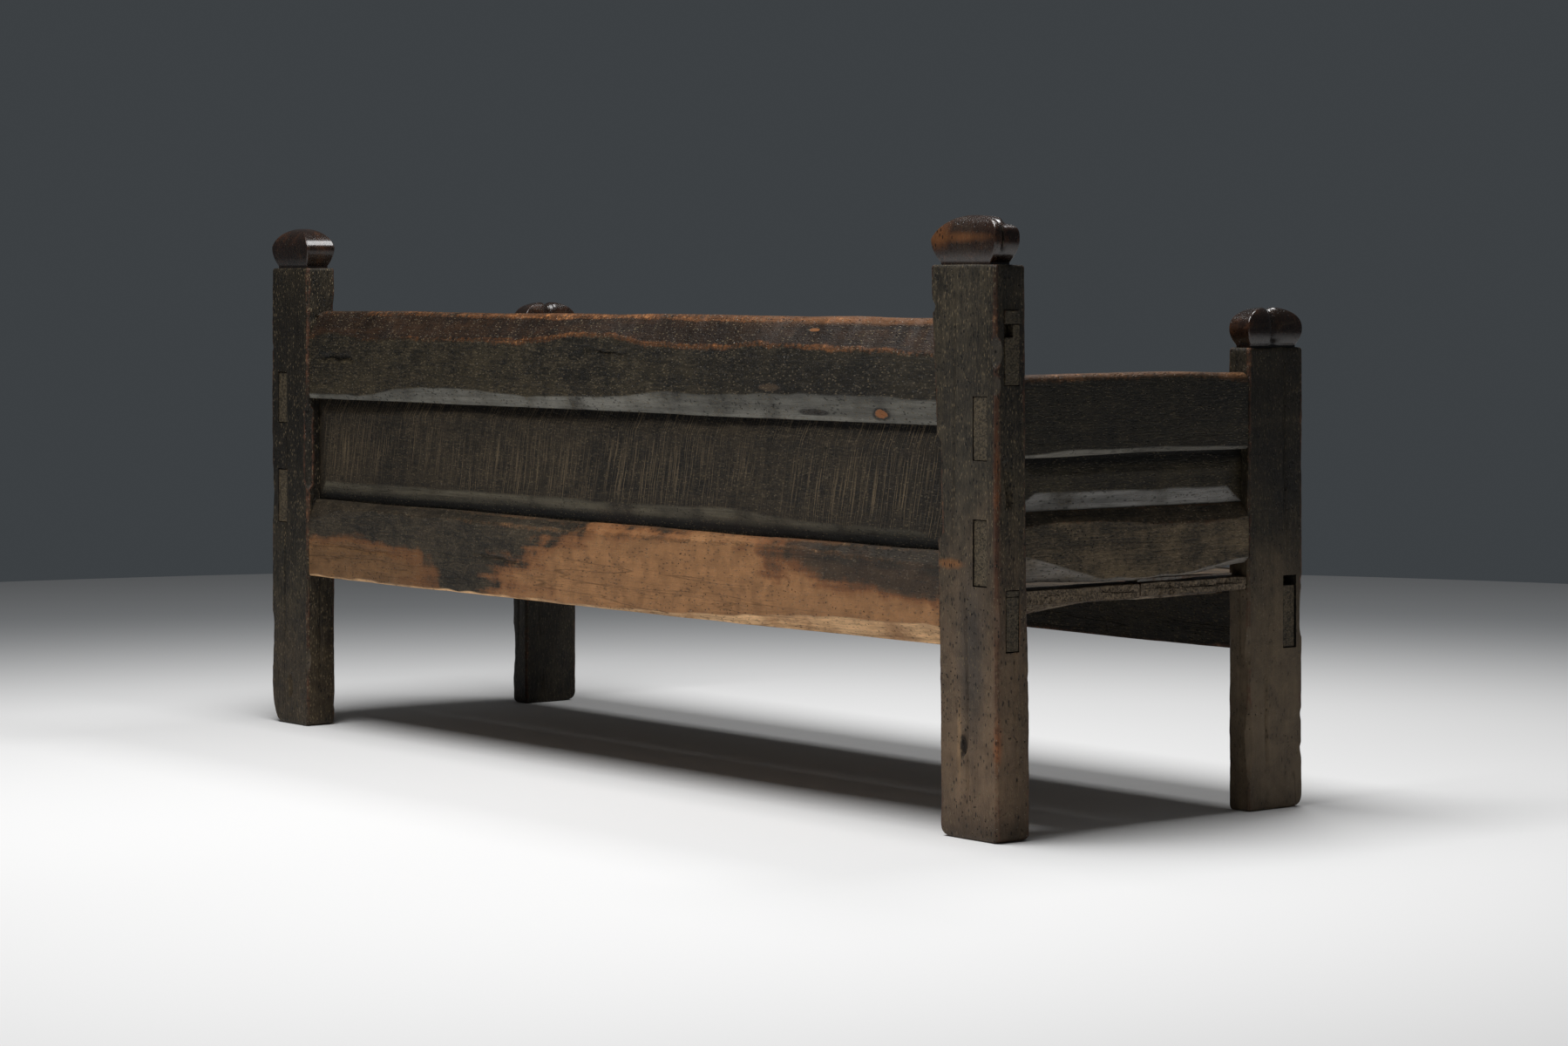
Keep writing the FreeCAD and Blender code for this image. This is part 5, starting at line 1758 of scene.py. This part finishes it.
@dataclass
class BackRail:
    """A back rail, scribed to the leaning left post, with a hewn upper and lower back edge.

    The high and low lines are where the cuts of those edges meet its back. The upper cut runs in across
    the top by its depth, the lower one by a slope for each metre of its height.
    """

    left: float
    bottom: float
    top: float
    high_line: Line
    low_line: Line
    high_depth: float
    low_slope: float
    tenon: tuple[Pair, Pair]
    zones: dict[Zone, dict[Side, float]]
    grooves: tuple[Groove, ...]
    high_round: float
    seed: int
    right: float = 0.874
    tenon_end: float = 0.998
    front: float = 0.264
    back: float = 0.318

    def timber(self) -> Timber:
        """Sweeps the rail.

        Returns:
            The swept rail.
        """
        wander = Wander(self.seed)
        stations = stepped(self.left, self.right)
        bottom = self.bottom + 0.0006 * (1 + wander.line(stations, 0.18))
        top = self.top - 0.0012 * (1 + wander.line(stations, 0.12))
        legs = worn_legs(stations, wander, 0.003, 0.005)
        upper = top - flowing(stations, self.high_line) + 0.0022 * wander.line(stations, 0.03)
        ease = 0.85 + 0.15 * wander.line(stations, 0.09) + 0.05 * wander.line(stations, 0.02)
        legs[:, Corner.FAR_HIGH, 0] = np.minimum(self.high_depth * ease, DEEPEST_CUT)
        legs[:, Corner.FAR_HIGH, 1] = upper
        lower = flowing(stations, self.low_line) - bottom + 0.0018 * wander.line(stations, 0.035)
        lower = np.maximum(lower, 0.002)
        slope = self.low_slope + 0.06 * wander.line(stations, 0.08)
        legs[:, Corner.FAR_LOW, 0] = np.minimum(lower * slope, DEEPEST_CUT)
        legs[:, Corner.FAR_LOW, 1] = lower
        corners = cut_corners(self.front, bottom, self.back, top, legs)
        rounding = np.full((len(stations), SIDES), RAIL_ROUNDING)
        rounding[:, Side.HIGH] = self.high_round
        rounding[:, Side.FAR_HIGH_CORNER] = 0.0035
        tenons = (Tenon(self.tenon_end * end.value, *self.tenon) for end in End)
        rail = Timber(Axis.ALONG, stations, corners, rounding, spacing=0.0036, grooves=self.grooves, seed=self.seed,
                      zones=rail_masks(len(stations), self.zones)).tenoned(*tenons)
        rubbed = np.interp(rail.stations, (-0.874, -0.5, 0.3, 0.874), (0.75, 1.0, 1.0, 0.45))[:, None]
        rail.rubbed = rubbed * np.array([1.0, 0.6, 0.25, 0.15, 0.95, 1.0, 1.0, 1.0])
        return rail


@dataclass
class BackFrame:
    """The back: two rails tenoned through the rear posts and the long panel between them."""

    shop: Workshop
    wane_line: Line = (
        (-0.874, 0.697), (-0.656, 0.704), (-0.543, 0.708), (-0.405, 0.708), (-0.338, 0.701), (-0.266, 0.702),
        (-0.143, 0.706), (-0.06, 0.718), (0.063, 0.719), (0.164, 0.704), (0.398, 0.706), (0.587, 0.704),
        (0.678, 0.699), (0.786, 0.714), (0.874, 0.704))
    chamfer_line: Line = (
        (-0.874, 0.632), (-0.533, 0.633), (-0.405, 0.629), (-0.298, 0.624), (-0.218, 0.63), (-0.06, 0.618),
        (0.15, 0.611), (0.36, 0.62), (0.6, 0.617), (0.64, 0.604), (0.733, 0.6), (0.806, 0.604),
        (0.874, 0.601))
    bevel_line: Line = (
        (-0.874, 0.39), (-0.514, 0.398), (-0.124, 0.396), (0.117, 0.394), (0.395, 0.398), (0.733, 0.4),
        (0.81, 0.392), (0.874, 0.372))
    pale_line: Line = (
        (-0.874, 0.304), (-0.592, 0.299), (-0.407, 0.287), (-0.213, 0.279), (0.0, 0.276), (0.874, 0.275))

    def build(self) -> None:
        """Builds the two rails and the panel."""
        rough = {"wobble": 0.0004}
        groove = block(Axis.ALONG, -0.87, 0.87, (0.2835, 0.585), (0.2945, 0.606), 201, **rough)
        broken = block(Axis.ALONG, -1.002, -0.984, (0.288, 0.7235), (0.305, 0.746), 203, wobble=0.001)
        self.shop.timber("back_top_rail", [self.top_rail()], RAIL_WOOD, [groove, broken])
        groove = block(Axis.ALONG, -0.87, 0.87, (0.2835, 0.399), (0.2945, 0.42), 202, **rough)
        self.shop.timber("back_bottom_rail", [self.bottom_rail()], SCUFFED_WOOD, [groove])
        self.shop.timber("back_panel", [self.panel()], PANEL_WOOD, wave=0.0009, ripple=0.0005)

    def top_rail(self) -> Timber:
        """The heavy top rail, with the wane of the log along its upper back edge.

        Returns:
            The swept rail.
        """
        # The lower back chamfer is pale grey: partly the hewn wood's own colour, partly painted floor light.
        zones = {Zone.WANE: {Side.FAR_HIGH_CORNER: 1.0, Side.HIGH: 0.75}, Zone.SILVER: {Side.FAR_LOW_CORNER: 0.8}}
        grooves = (
            Groove(Side.FAR, 0.725, 0.838, 0.667, 0.007, 0.007, 0.006),
            Groove(Side.FAR, -0.1, 0.02, 0.69, 0.004, 0.004, 0.008),
            Groove(Side.HIGH, -0.7, 0.6, 0.275, 0.003, 0.003, 0.008))
        return BackRail(-0.8625, 0.5925, 0.753, self.wane_line, self.chamfer_line, 0.036, 0.35,
                        ((0.275, 0.655), (0.303, 0.743)), zones, grooves, 0.013, 21).timber()

    def bottom_rail(self) -> Timber:
        """The bottom rail, scuffed through its patina and hewn away below at the left.

        Returns:
            The swept rail.
        """
        zones = {Zone.WANE: {Side.FAR_HIGH_CORNER: 0.6}, Zone.SILVER: {Side.LOW: 0.5, Side.FAR_LOW_CORNER: 1.0}}
        grooves = (
            Groove(Side.FAR, 0.2, 0.34, 0.338, 0.004, 0.003, 0.006),
            Groove(Side.FAR, 0.55, 0.85, 0.33, 0.0025, 0.002, 0.008))
        return BackRail(-0.8705, 0.271, 0.412, self.bevel_line, self.pale_line, 0.018, 0.95,
                        ((0.277, 0.273), (0.301, 0.352)), zones, grooves, 0.004, 22).timber()

    def panel(self) -> Timber:
        """The long fielded panel of the back.

        Returns:
            The swept panel.
        """
        bottom = ((-0.885, 0.437), (-0.477, 0.44), (-0.383, 0.449), (-0.036, 0.446), (0.508, 0.445), (0.885, 0.444))
        top = ((-0.885, 0.556), (-0.556, 0.562), (-0.036, 0.565), (0.213, 0.569), (0.494, 0.571), (0.885, 0.566))
        return FieldedPanel(Axis.ALONG, (-0.885, 0.885), (0.401, 0.604), (bottom, top), (0.066, 0.034), 0.284,
                            0.294, 0.304, 0.011, 31).timber()


@dataclass
class BenchEnd:
    """One end of the bench: the arm rail, the end rail and the panel between them."""

    shop: Workshop
    end: End
    outer: float = -0.984
    inner: float = -0.939
    front: float = -0.203
    back: float = 0.261

    @property
    def seed(self) -> int:
        """The first seed of this end's unevenness."""
        return 51 if self.end is End.LEFT else 56

    def build(self) -> None:
        """Builds the two rails and the panel."""
        splinter = block(Axis.ACROSS, -0.168, 0.03, (-0.9835, 0.3606), (-0.9715, 0.3652), self.seed + 162,
                         wobble=0.0012)
        splinter.zones = {Zone.SILVER: np.ones(4)}
        arm_groove, end_groove = (
            block(Axis.ACROSS, -0.2, 0.258, (-0.967, low), (-0.956, low + 0.019), self.seed + number)
            for low, number in ((0.54, 160), (0.459, 161)))
        for name, timbers, wood, sockets in (
                ("arm_rail", [self.arm_rail()], ARM_RAIL_WOOD, [arm_groove]),
                ("end_rail", [self.end_rail(), splinter], END_RAIL_WOOD, [end_groove]),
                ("end_panel", [self.panel()], END_PANEL_WOOD, [])):
            self.shop.timber(f"{name}_{self.end.word}", timbers, wood, sockets, self.end, wave=0.001)

    @staticmethod
    def tenons(low: float, high: float) -> tuple[Tenon, Tenon]:
        """The blind tenon in the front post, and the through tenon in the rear post from low to high."""
        return (Tenon(-0.281, (-0.9705, low + 0.016), (-0.9525, high)),
                Tenon(0.319, (-0.9765, low), (-0.9465, high)))

    def swept(self, bottom: Array, top: object, stations: Array, legs: Array,
              rounding: Array, tenons: tuple[Tenon, Tenon], zones: dict[Zone, dict[Side, float]],
              seed: int) -> Timber:
        """Sweeps a rail of the bench's end.

        Args:
            bottom: Its underside at every station.
            top: Its upper side.
            stations: Places along it.
            legs: The cuts of its corners.
            rounding: Rounding of its section's corners.
            tenons: Its tenons.
            zones: Masks of its sides.
            seed: Seed of its unevenness.

        Returns:
            The swept rail.
        """
        masks = rail_masks(len(stations), zones)
        masks[Zone.END_GRAIN] *= 1.0 if self.end is End.LEFT else 0.4
        corners = cut_corners(self.outer, bottom, self.inner, top, legs)
        rubbed = np.array([0.35, 0.35, 0.6, 0.6, 1.0, 1.0, 1.0, 0.8])
        return Timber(Axis.ACROSS, stations, corners, rounding, spacing=0.0032, zones=masks, rubbed=rubbed,
                      seed=seed).tenoned(*tenons)

    def arm_rail(self) -> Timber:
        """The arm rail, worn round along its top.

        Returns:
            The swept rail.
        """
        wander = Wander(self.seed)
        stations = stepped(self.front, self.back)
        legs = worn_legs(stations, wander, 0.003, 0.004)
        under = 0.006 + 0.003 * wander.line(stations, 0.09)
        legs[:, Corner.NEAR_LOW] = np.stack([under, under * 1.2], axis=1)
        for corner in (Corner.NEAR_HIGH, Corner.FAR_HIGH):
            legs[:, corner] = np.maximum(legs[:, corner], 0.0075 + 0.002 * wander.line(stations, 0.12)[:, None])
        rounding = np.full((len(stations), SIDES), RAIL_ROUNDING)
        rounding[:, Side.FAR_HIGH_CORNER:] = 0.006
        bottom = 0.5475 + 0.0015 * (1 + wander.line(stations, 0.2))
        top = 0.6705 - 0.0016 * (1 + wander.line(stations, 0.16))
        # Painted floor light: the underside and its outer chamfer, which look down, are laid pale grey.
        zones = {Zone.WANE: {Side.HIGH: 1.0, Side.NEAR_HIGH_CORNER: 0.8, Side.FAR_HIGH_CORNER: 0.8},
                 Zone.SILVER: {Side.NEAR_LOW_CORNER: 0.9, Side.LOW: 0.5}}
        return self.swept(bottom, top, stations, legs, rounding, self.tenons(0.547, 0.639), zones, self.seed)

    def end_rail(self) -> Timber:
        """The end rail, bowed below and hewn to facets at both ends.

        Returns:
            The swept rail.
        """
        wander = Wander(self.seed + 1)
        stations = stepped(self.front, self.back)
        legs = worn_legs(stations, wander, 0.003, 0.005)
        facet = flowing(stations, ((-0.203, 0.01), (-0.125, 0.006), (-0.043, 0.003), (0.104, 0.006),
                                   (0.185, 0.023), (0.261, 0.043)), 4)
        facet = np.maximum(facet + 0.0015 * wander.line(stations, 0.03), 0.002)
        legs[:, Corner.NEAR_LOW] = np.stack([np.minimum(facet, 0.022), facet], axis=1)
        bevel = flowing(stations, ((-0.203, 0.022), (-0.107, 0.026), (-0.016, 0.027), (0.037, 0.021), (0.159, 0.015),
                                   (0.261, 0.019)), 4) + 0.0015 * wander.line(stations, 0.03)
        legs[:, Corner.NEAR_HIGH, 0] = 0.016
        legs[:, Corner.NEAR_HIGH, 1] = bevel
        rounding = np.full((len(stations), SIDES), RAIL_ROUNDING)
        bottom = flowing(stations, ((-0.203, 0.377), (-0.1, 0.3665), (0.03, 0.3615), (0.15, 0.363), (0.261, 0.366)), 5)
        bottom = bottom + 0.001 * (1 + wander.line(stations, 0.05))
        # The underside and its outer facet are pale grey: partly hewn raw wood, partly painted floor light.
        zones = {Zone.WANE: {Side.NEAR_HIGH_CORNER: 0.55}, Zone.SILVER: {Side.NEAR_LOW_CORNER: 0.75, Side.LOW: 0.8}}
        return self.swept(bottom, 0.4705, stations, legs, rounding, self.tenons(0.366, 0.462), zones, self.seed + 1)

    def panel(self) -> Timber:
        """The short fielded panel of this end.

        Returns:
            The swept panel.
        """
        bottom = ((-0.214, 0.494), (0.272, 0.496))
        top = ((-0.214, 0.523), (0.272, 0.522))
        return FieldedPanel(Axis.ACROSS, (-0.214, 0.272), (0.46, 0.558), (bottom, top), (0.036, 0.038), -0.9565,
                            -0.9665, -0.9735, 0.011, self.seed + 2).timber()


@dataclass
class Seat:
    """The boarded seat: the front rail, three boards and the bearers under them."""

    shop: Workshop
    top: float = 0.36
    under: float = 0.334
    bearer_places: tuple[tuple[str, float], ...] = (("left", -0.84), ("middle", 0.0), ("right", 0.84))

    def build(self) -> None:
        """Builds the rail, the boards and the bearers."""
        self.shop.timber("front_seat_rail", [self.front_rail()], FRONT_RAIL_WOOD)
        for node, reach, low, high, ragged, seed in (
                ("seat_board_rear", 0.984, 0.021, 0.2604, 0.007, 71),
                ("seat_board_middle", 0.984, -0.2026, 0.0196, 0.009, 72),
                ("seat_board_front", 0.938, -0.2886, -0.204, 0.0, 73)):
            self.shop.timber(node, [self.board(reach, low, high, ragged, seed)], SEAT_WOOD, wave=0.0009)
        for number, (word, place) in enumerate(self.bearer_places):
            self.shop.timber(f"seat_bearer_{word}", [self.bearer(place, 81 + number)], BEARER_WOOD)

    def front_rail(self) -> Timber:
        """The front rail, rebated behind for the front board and worn round at its front edge.

        Returns:
            The swept rail.
        """
        wander = Wander(74)
        stations = stepped(-0.939, 0.939, 0.006)
        front = -0.317 + 0.0008 * (1 + wander.line(stations, 0.2))
        bottom = 0.2335 + 0.0015 * (1 + wander.line(stations, 0.25))
        back, step, shelf = -0.267, -0.289, self.under - 0.0004
        top = self.top - 0.001 * (1 + wander.line(stations, 0.15))
        corners = outlined([(front, bottom), (back, bottom), (back, shelf), (step, shelf), (step, top), (front, top)])
        rounding = np.full((len(stations), 6), 0.0025) + 0.0015 * wander.bites(stations, 0.03, 0.4)[:, None]
        rounding[:, 2:5] = 0.0006
        rounding[:, 5] = 0.012 + 0.003 * wander.line(stations, 0.2)
        tenons = tuple(Tenon(0.982 * end.value, (-0.3055, 0.245), (-0.2785, 0.341)) for end in End)
        return Timber(Axis.ALONG, stations, corners, rounding, spacing=0.0042, seed=74).tenoned(*tenons)

    def board(self, reach: float, low: float, high: float, ragged: float, seed: int) -> Timber:
        """A seat board.

        Args:
            reach: Half its length.
            low: Its front edge.
            high: Its back edge.
            ragged: How far its ends are torn.
            seed: Seed of its unevenness.

        Returns:
            The swept board.
        """
        wander = Wander(seed)
        ends = np.array([0.0, 0.0015, 0.004, 0.008, 0.013, 0.019, 0.026])
        stations = np.concatenate([-reach + ends, np.arange(0.032 - reach, reach - 0.031, 0.007), reach - ends[::-1]])
        soft = np.zeros(len(stations))
        soft[:3] = soft[-1:-4:-1] = (0.0016, 0.0008, 0.0003)
        bottom = self.under + soft + 0.001 * (1 + wander.line(stations, 0.3))
        top = self.top - soft - 0.001 * (1 + wander.line(stations, 0.3))
        legs = worn_legs(stations, wander, 0.0028, 0.004)
        return Timber(Axis.ALONG, stations, cut_corners(low, bottom, high, top, legs), 0.0015, spacing=0.0045,
                      ragged=(ragged, ragged), seed=seed)

    def bearer(self, place: float, seed: int) -> Timber:
        """A riven bearer, thinner towards the front.

        Args:
            place: Where it lies along the bench.
            seed: Seed of its unevenness.

        Returns:
            The swept bearer.
        """
        wander = Wander(seed)
        stations = np.linspace(-0.2665, 0.2635, 110)
        drop = flowing(stations, ((-0.2665, 0.014), (0.02, 0.015), (0.2635, 0.036)), 2)
        near = place - 0.025 + 0.001 * (1 + wander.line(stations, 0.1))
        bottom = self.under - drop + 0.0015 * (1 + wander.line(stations, 0.08))
        far = place + 0.025 - 0.001 * (1 + wander.line(stations, 0.1))
        legs = worn_legs(stations, wander, 0.003, 0.006)
        corners = cut_corners(near, bottom, far, self.under - 0.0002, legs)
        return Timber(Axis.ACROSS, stations, corners, 0.0014, spacing=0.004, seed=seed)


@dataclass
class Fastenings:
    """The pegs through the tenons of the back rails and the wedges above those tenons."""

    shop: Workshop
    peg_x: float = 0.914
    peg_heights: Pair = (0.683, 0.337)
    peg_y: float = 0.291
    wedge_ends: Pair = (-0.998, -0.956)

    def build(self) -> None:
        """Sets the pegs and drives the wedges."""
        points = [(self.peg_x * end.value, self.peg_y, height) for end in End for height in self.peg_heights]
        pegs = self.shop.pegs.set("joint_pegs.wood", points, self.shop.finish(PEG_WOOD))
        self.shop.settle(pegs, "joint_pegs")
        wedges = []
        for end in End:
            for number, (low, high) in enumerate((((0.2752, 0.7434), (0.3028, 0.7626)),
                                                  ((0.2772, 0.3524), (0.3008, 0.3606)))):
                wedge = block(Axis.ALONG, *self.wedge_ends, low, high, 230 + number, wobble=0.0003, soft=0.001)
                wedge.mirrored = end is End.RIGHT
                wedges.append(wedge)
        self.shop.timber("tenon_wedges", wedges, PEG_WOOD, wave=0.0002, ripple=0.0002)


@dataclass
class Studio:
    """A round pale floor with painted light falloff and painted shade at its rim, soft light from above and the
    camera.
    """

    camera_place: Place = (-5.1375, 3.9946, 0.805)
    camera_turn: float = 231.548
    lens: float = 88.843
    shift: float = -0.15425
    floor_radius: float = 4.35
    floor_sides: int = 160
    floor_middle: Place = (-0.9, 0.6, 0.0)
    floor_colours: tuple[Colour, Colour] = ((0.7, 0.7, 0.7), (0.84, 0.84, 0.84))
    floor_side: Place = (-1.0, 0.0, 0.0)
    rim_colour: Colour = (0.3, 0.31, 0.32)
    backdrop: Colour = (0.046, 0.052, 0.057)
    ambient: float = 0.072

    lamps: tuple[tuple[str, Place, Pair, float], ...] = (
        ("soft_light", (-0.2, 1.12, 3.5), (2.0, 2.4), 167.0), ("front_light", (0.1, -1.5, 3.5), (1.4, 0.8), 42.0))

    def build(self) -> None:
        """Sets the stage."""
        self.floor()
        self.world()
        for name, place, size, power in self.lamps:
            lamp = bpy.data.lights.new(name, "AREA")
            lamp.shape, lamp.energy = "RECTANGLE", power
            lamp.size, lamp.size_y = size
            linked(name, lamp).location = place
        self.camera()

    def floor(self) -> None:
        """Lays the floor, with painted light falloff across it and painted shade towards its rim."""
        turns = np.linspace(0.0, math.tau, self.floor_sides, endpoint=False)
        rim = [(self.floor_radius * math.cos(turn), self.floor_radius * math.sin(turn), 0.0) for turn in turns]
        mesh = bpy.data.meshes.new("floor")
        mesh.from_pydata(rim, [], [list(range(self.floor_sides))])
        material = bpy.data.materials.new("pale_floor")
        material.use_nodes = True
        material.node_tree.nodes.clear()
        w = Wiring(material.node_tree)
        place = w.add("ShaderNodeTexCoord").outputs["Object"]
        # Painted shade darkens the floor towards its rim, and painted light falloff runs from side to side.
        away = w.vector("LENGTH", w.vector("SUBTRACT", place, self.floor_middle))
        side = w.step(w.vector("DOT_PRODUCT", place, self.floor_side), 0.4, 2.2)
        far = w.step(away, 0.46 * self.floor_radius, self.floor_radius)
        colour = w.mix(far, w.mix(side, *self.floor_colours), self.rim_colour)
        shader = w.add("ShaderNodeBsdfPrincipled", {
            "Base Color": colour, "Roughness": 0.8, "Specular IOR Level": 0.1})
        w.add("ShaderNodeOutputMaterial", {"Surface": shader.outputs[0]})
        mesh.materials.append(material)
        linked("floor", mesh)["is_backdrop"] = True

    def world(self) -> None:
        """Sets the grey backdrop and a little light from all round."""
        world = bpy.data.worlds.new("studio")
        bpy.context.scene.world = world
        world.use_nodes = True
        world.node_tree.nodes.clear()
        w = Wiring(world.node_tree)
        path = w.add("ShaderNodeLightPath").outputs
        seen = w.math("MAXIMUM", path["Is Camera Ray"], path["Is Glossy Ray"])
        around, behind = (
            w.add("ShaderNodeBackground", {"Color": (*colour, 1.0), "Strength": strength}).outputs[0]
            for colour, strength in (((1.0, 1.0, 1.0), self.ambient), (self.backdrop, 1.0)))
        choice = w.add("ShaderNodeMixShader", {0: seen, 1: around, 2: behind})
        w.add("ShaderNodeOutputWorld", {0: choice.outputs[0]})

    def camera(self) -> None:
        """Sets the camera up at the viewing angle of the photograph."""
        data = bpy.data.cameras.new("camera")
        data.sensor_fit, data.sensor_width = "HORIZONTAL", SENSOR_WIDTH
        data.lens, data.shift_y, data.clip_end = self.lens, self.shift, FAR_CLIP
        camera = linked("camera", data)
        camera.location = self.camera_place
        camera.rotation_euler = (math.radians(90.0), 0.0, math.radians(self.camera_turn))
        bpy.context.scene.camera = camera


def main() -> None:
    """Builds the bench and its stage."""
    logging.basicConfig(level=logging.INFO, format="%(name)s %(message)s")
    frame_box = [list(corner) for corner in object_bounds()]
    shop = Workshop(frame_box)
    for assembly in (Posts(shop), BackFrame(shop), BenchEnd(shop, End.LEFT), BenchEnd(shop, End.RIGHT), Seat(shop),
                     Fastenings(shop)):
        LOG.info("building the %s", type(assembly).__name__)
        assembly.build()
    Studio().build()
    bpy.context.scene.view_settings.view_transform = "Standard"


if __name__ == "__main__":
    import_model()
    main()
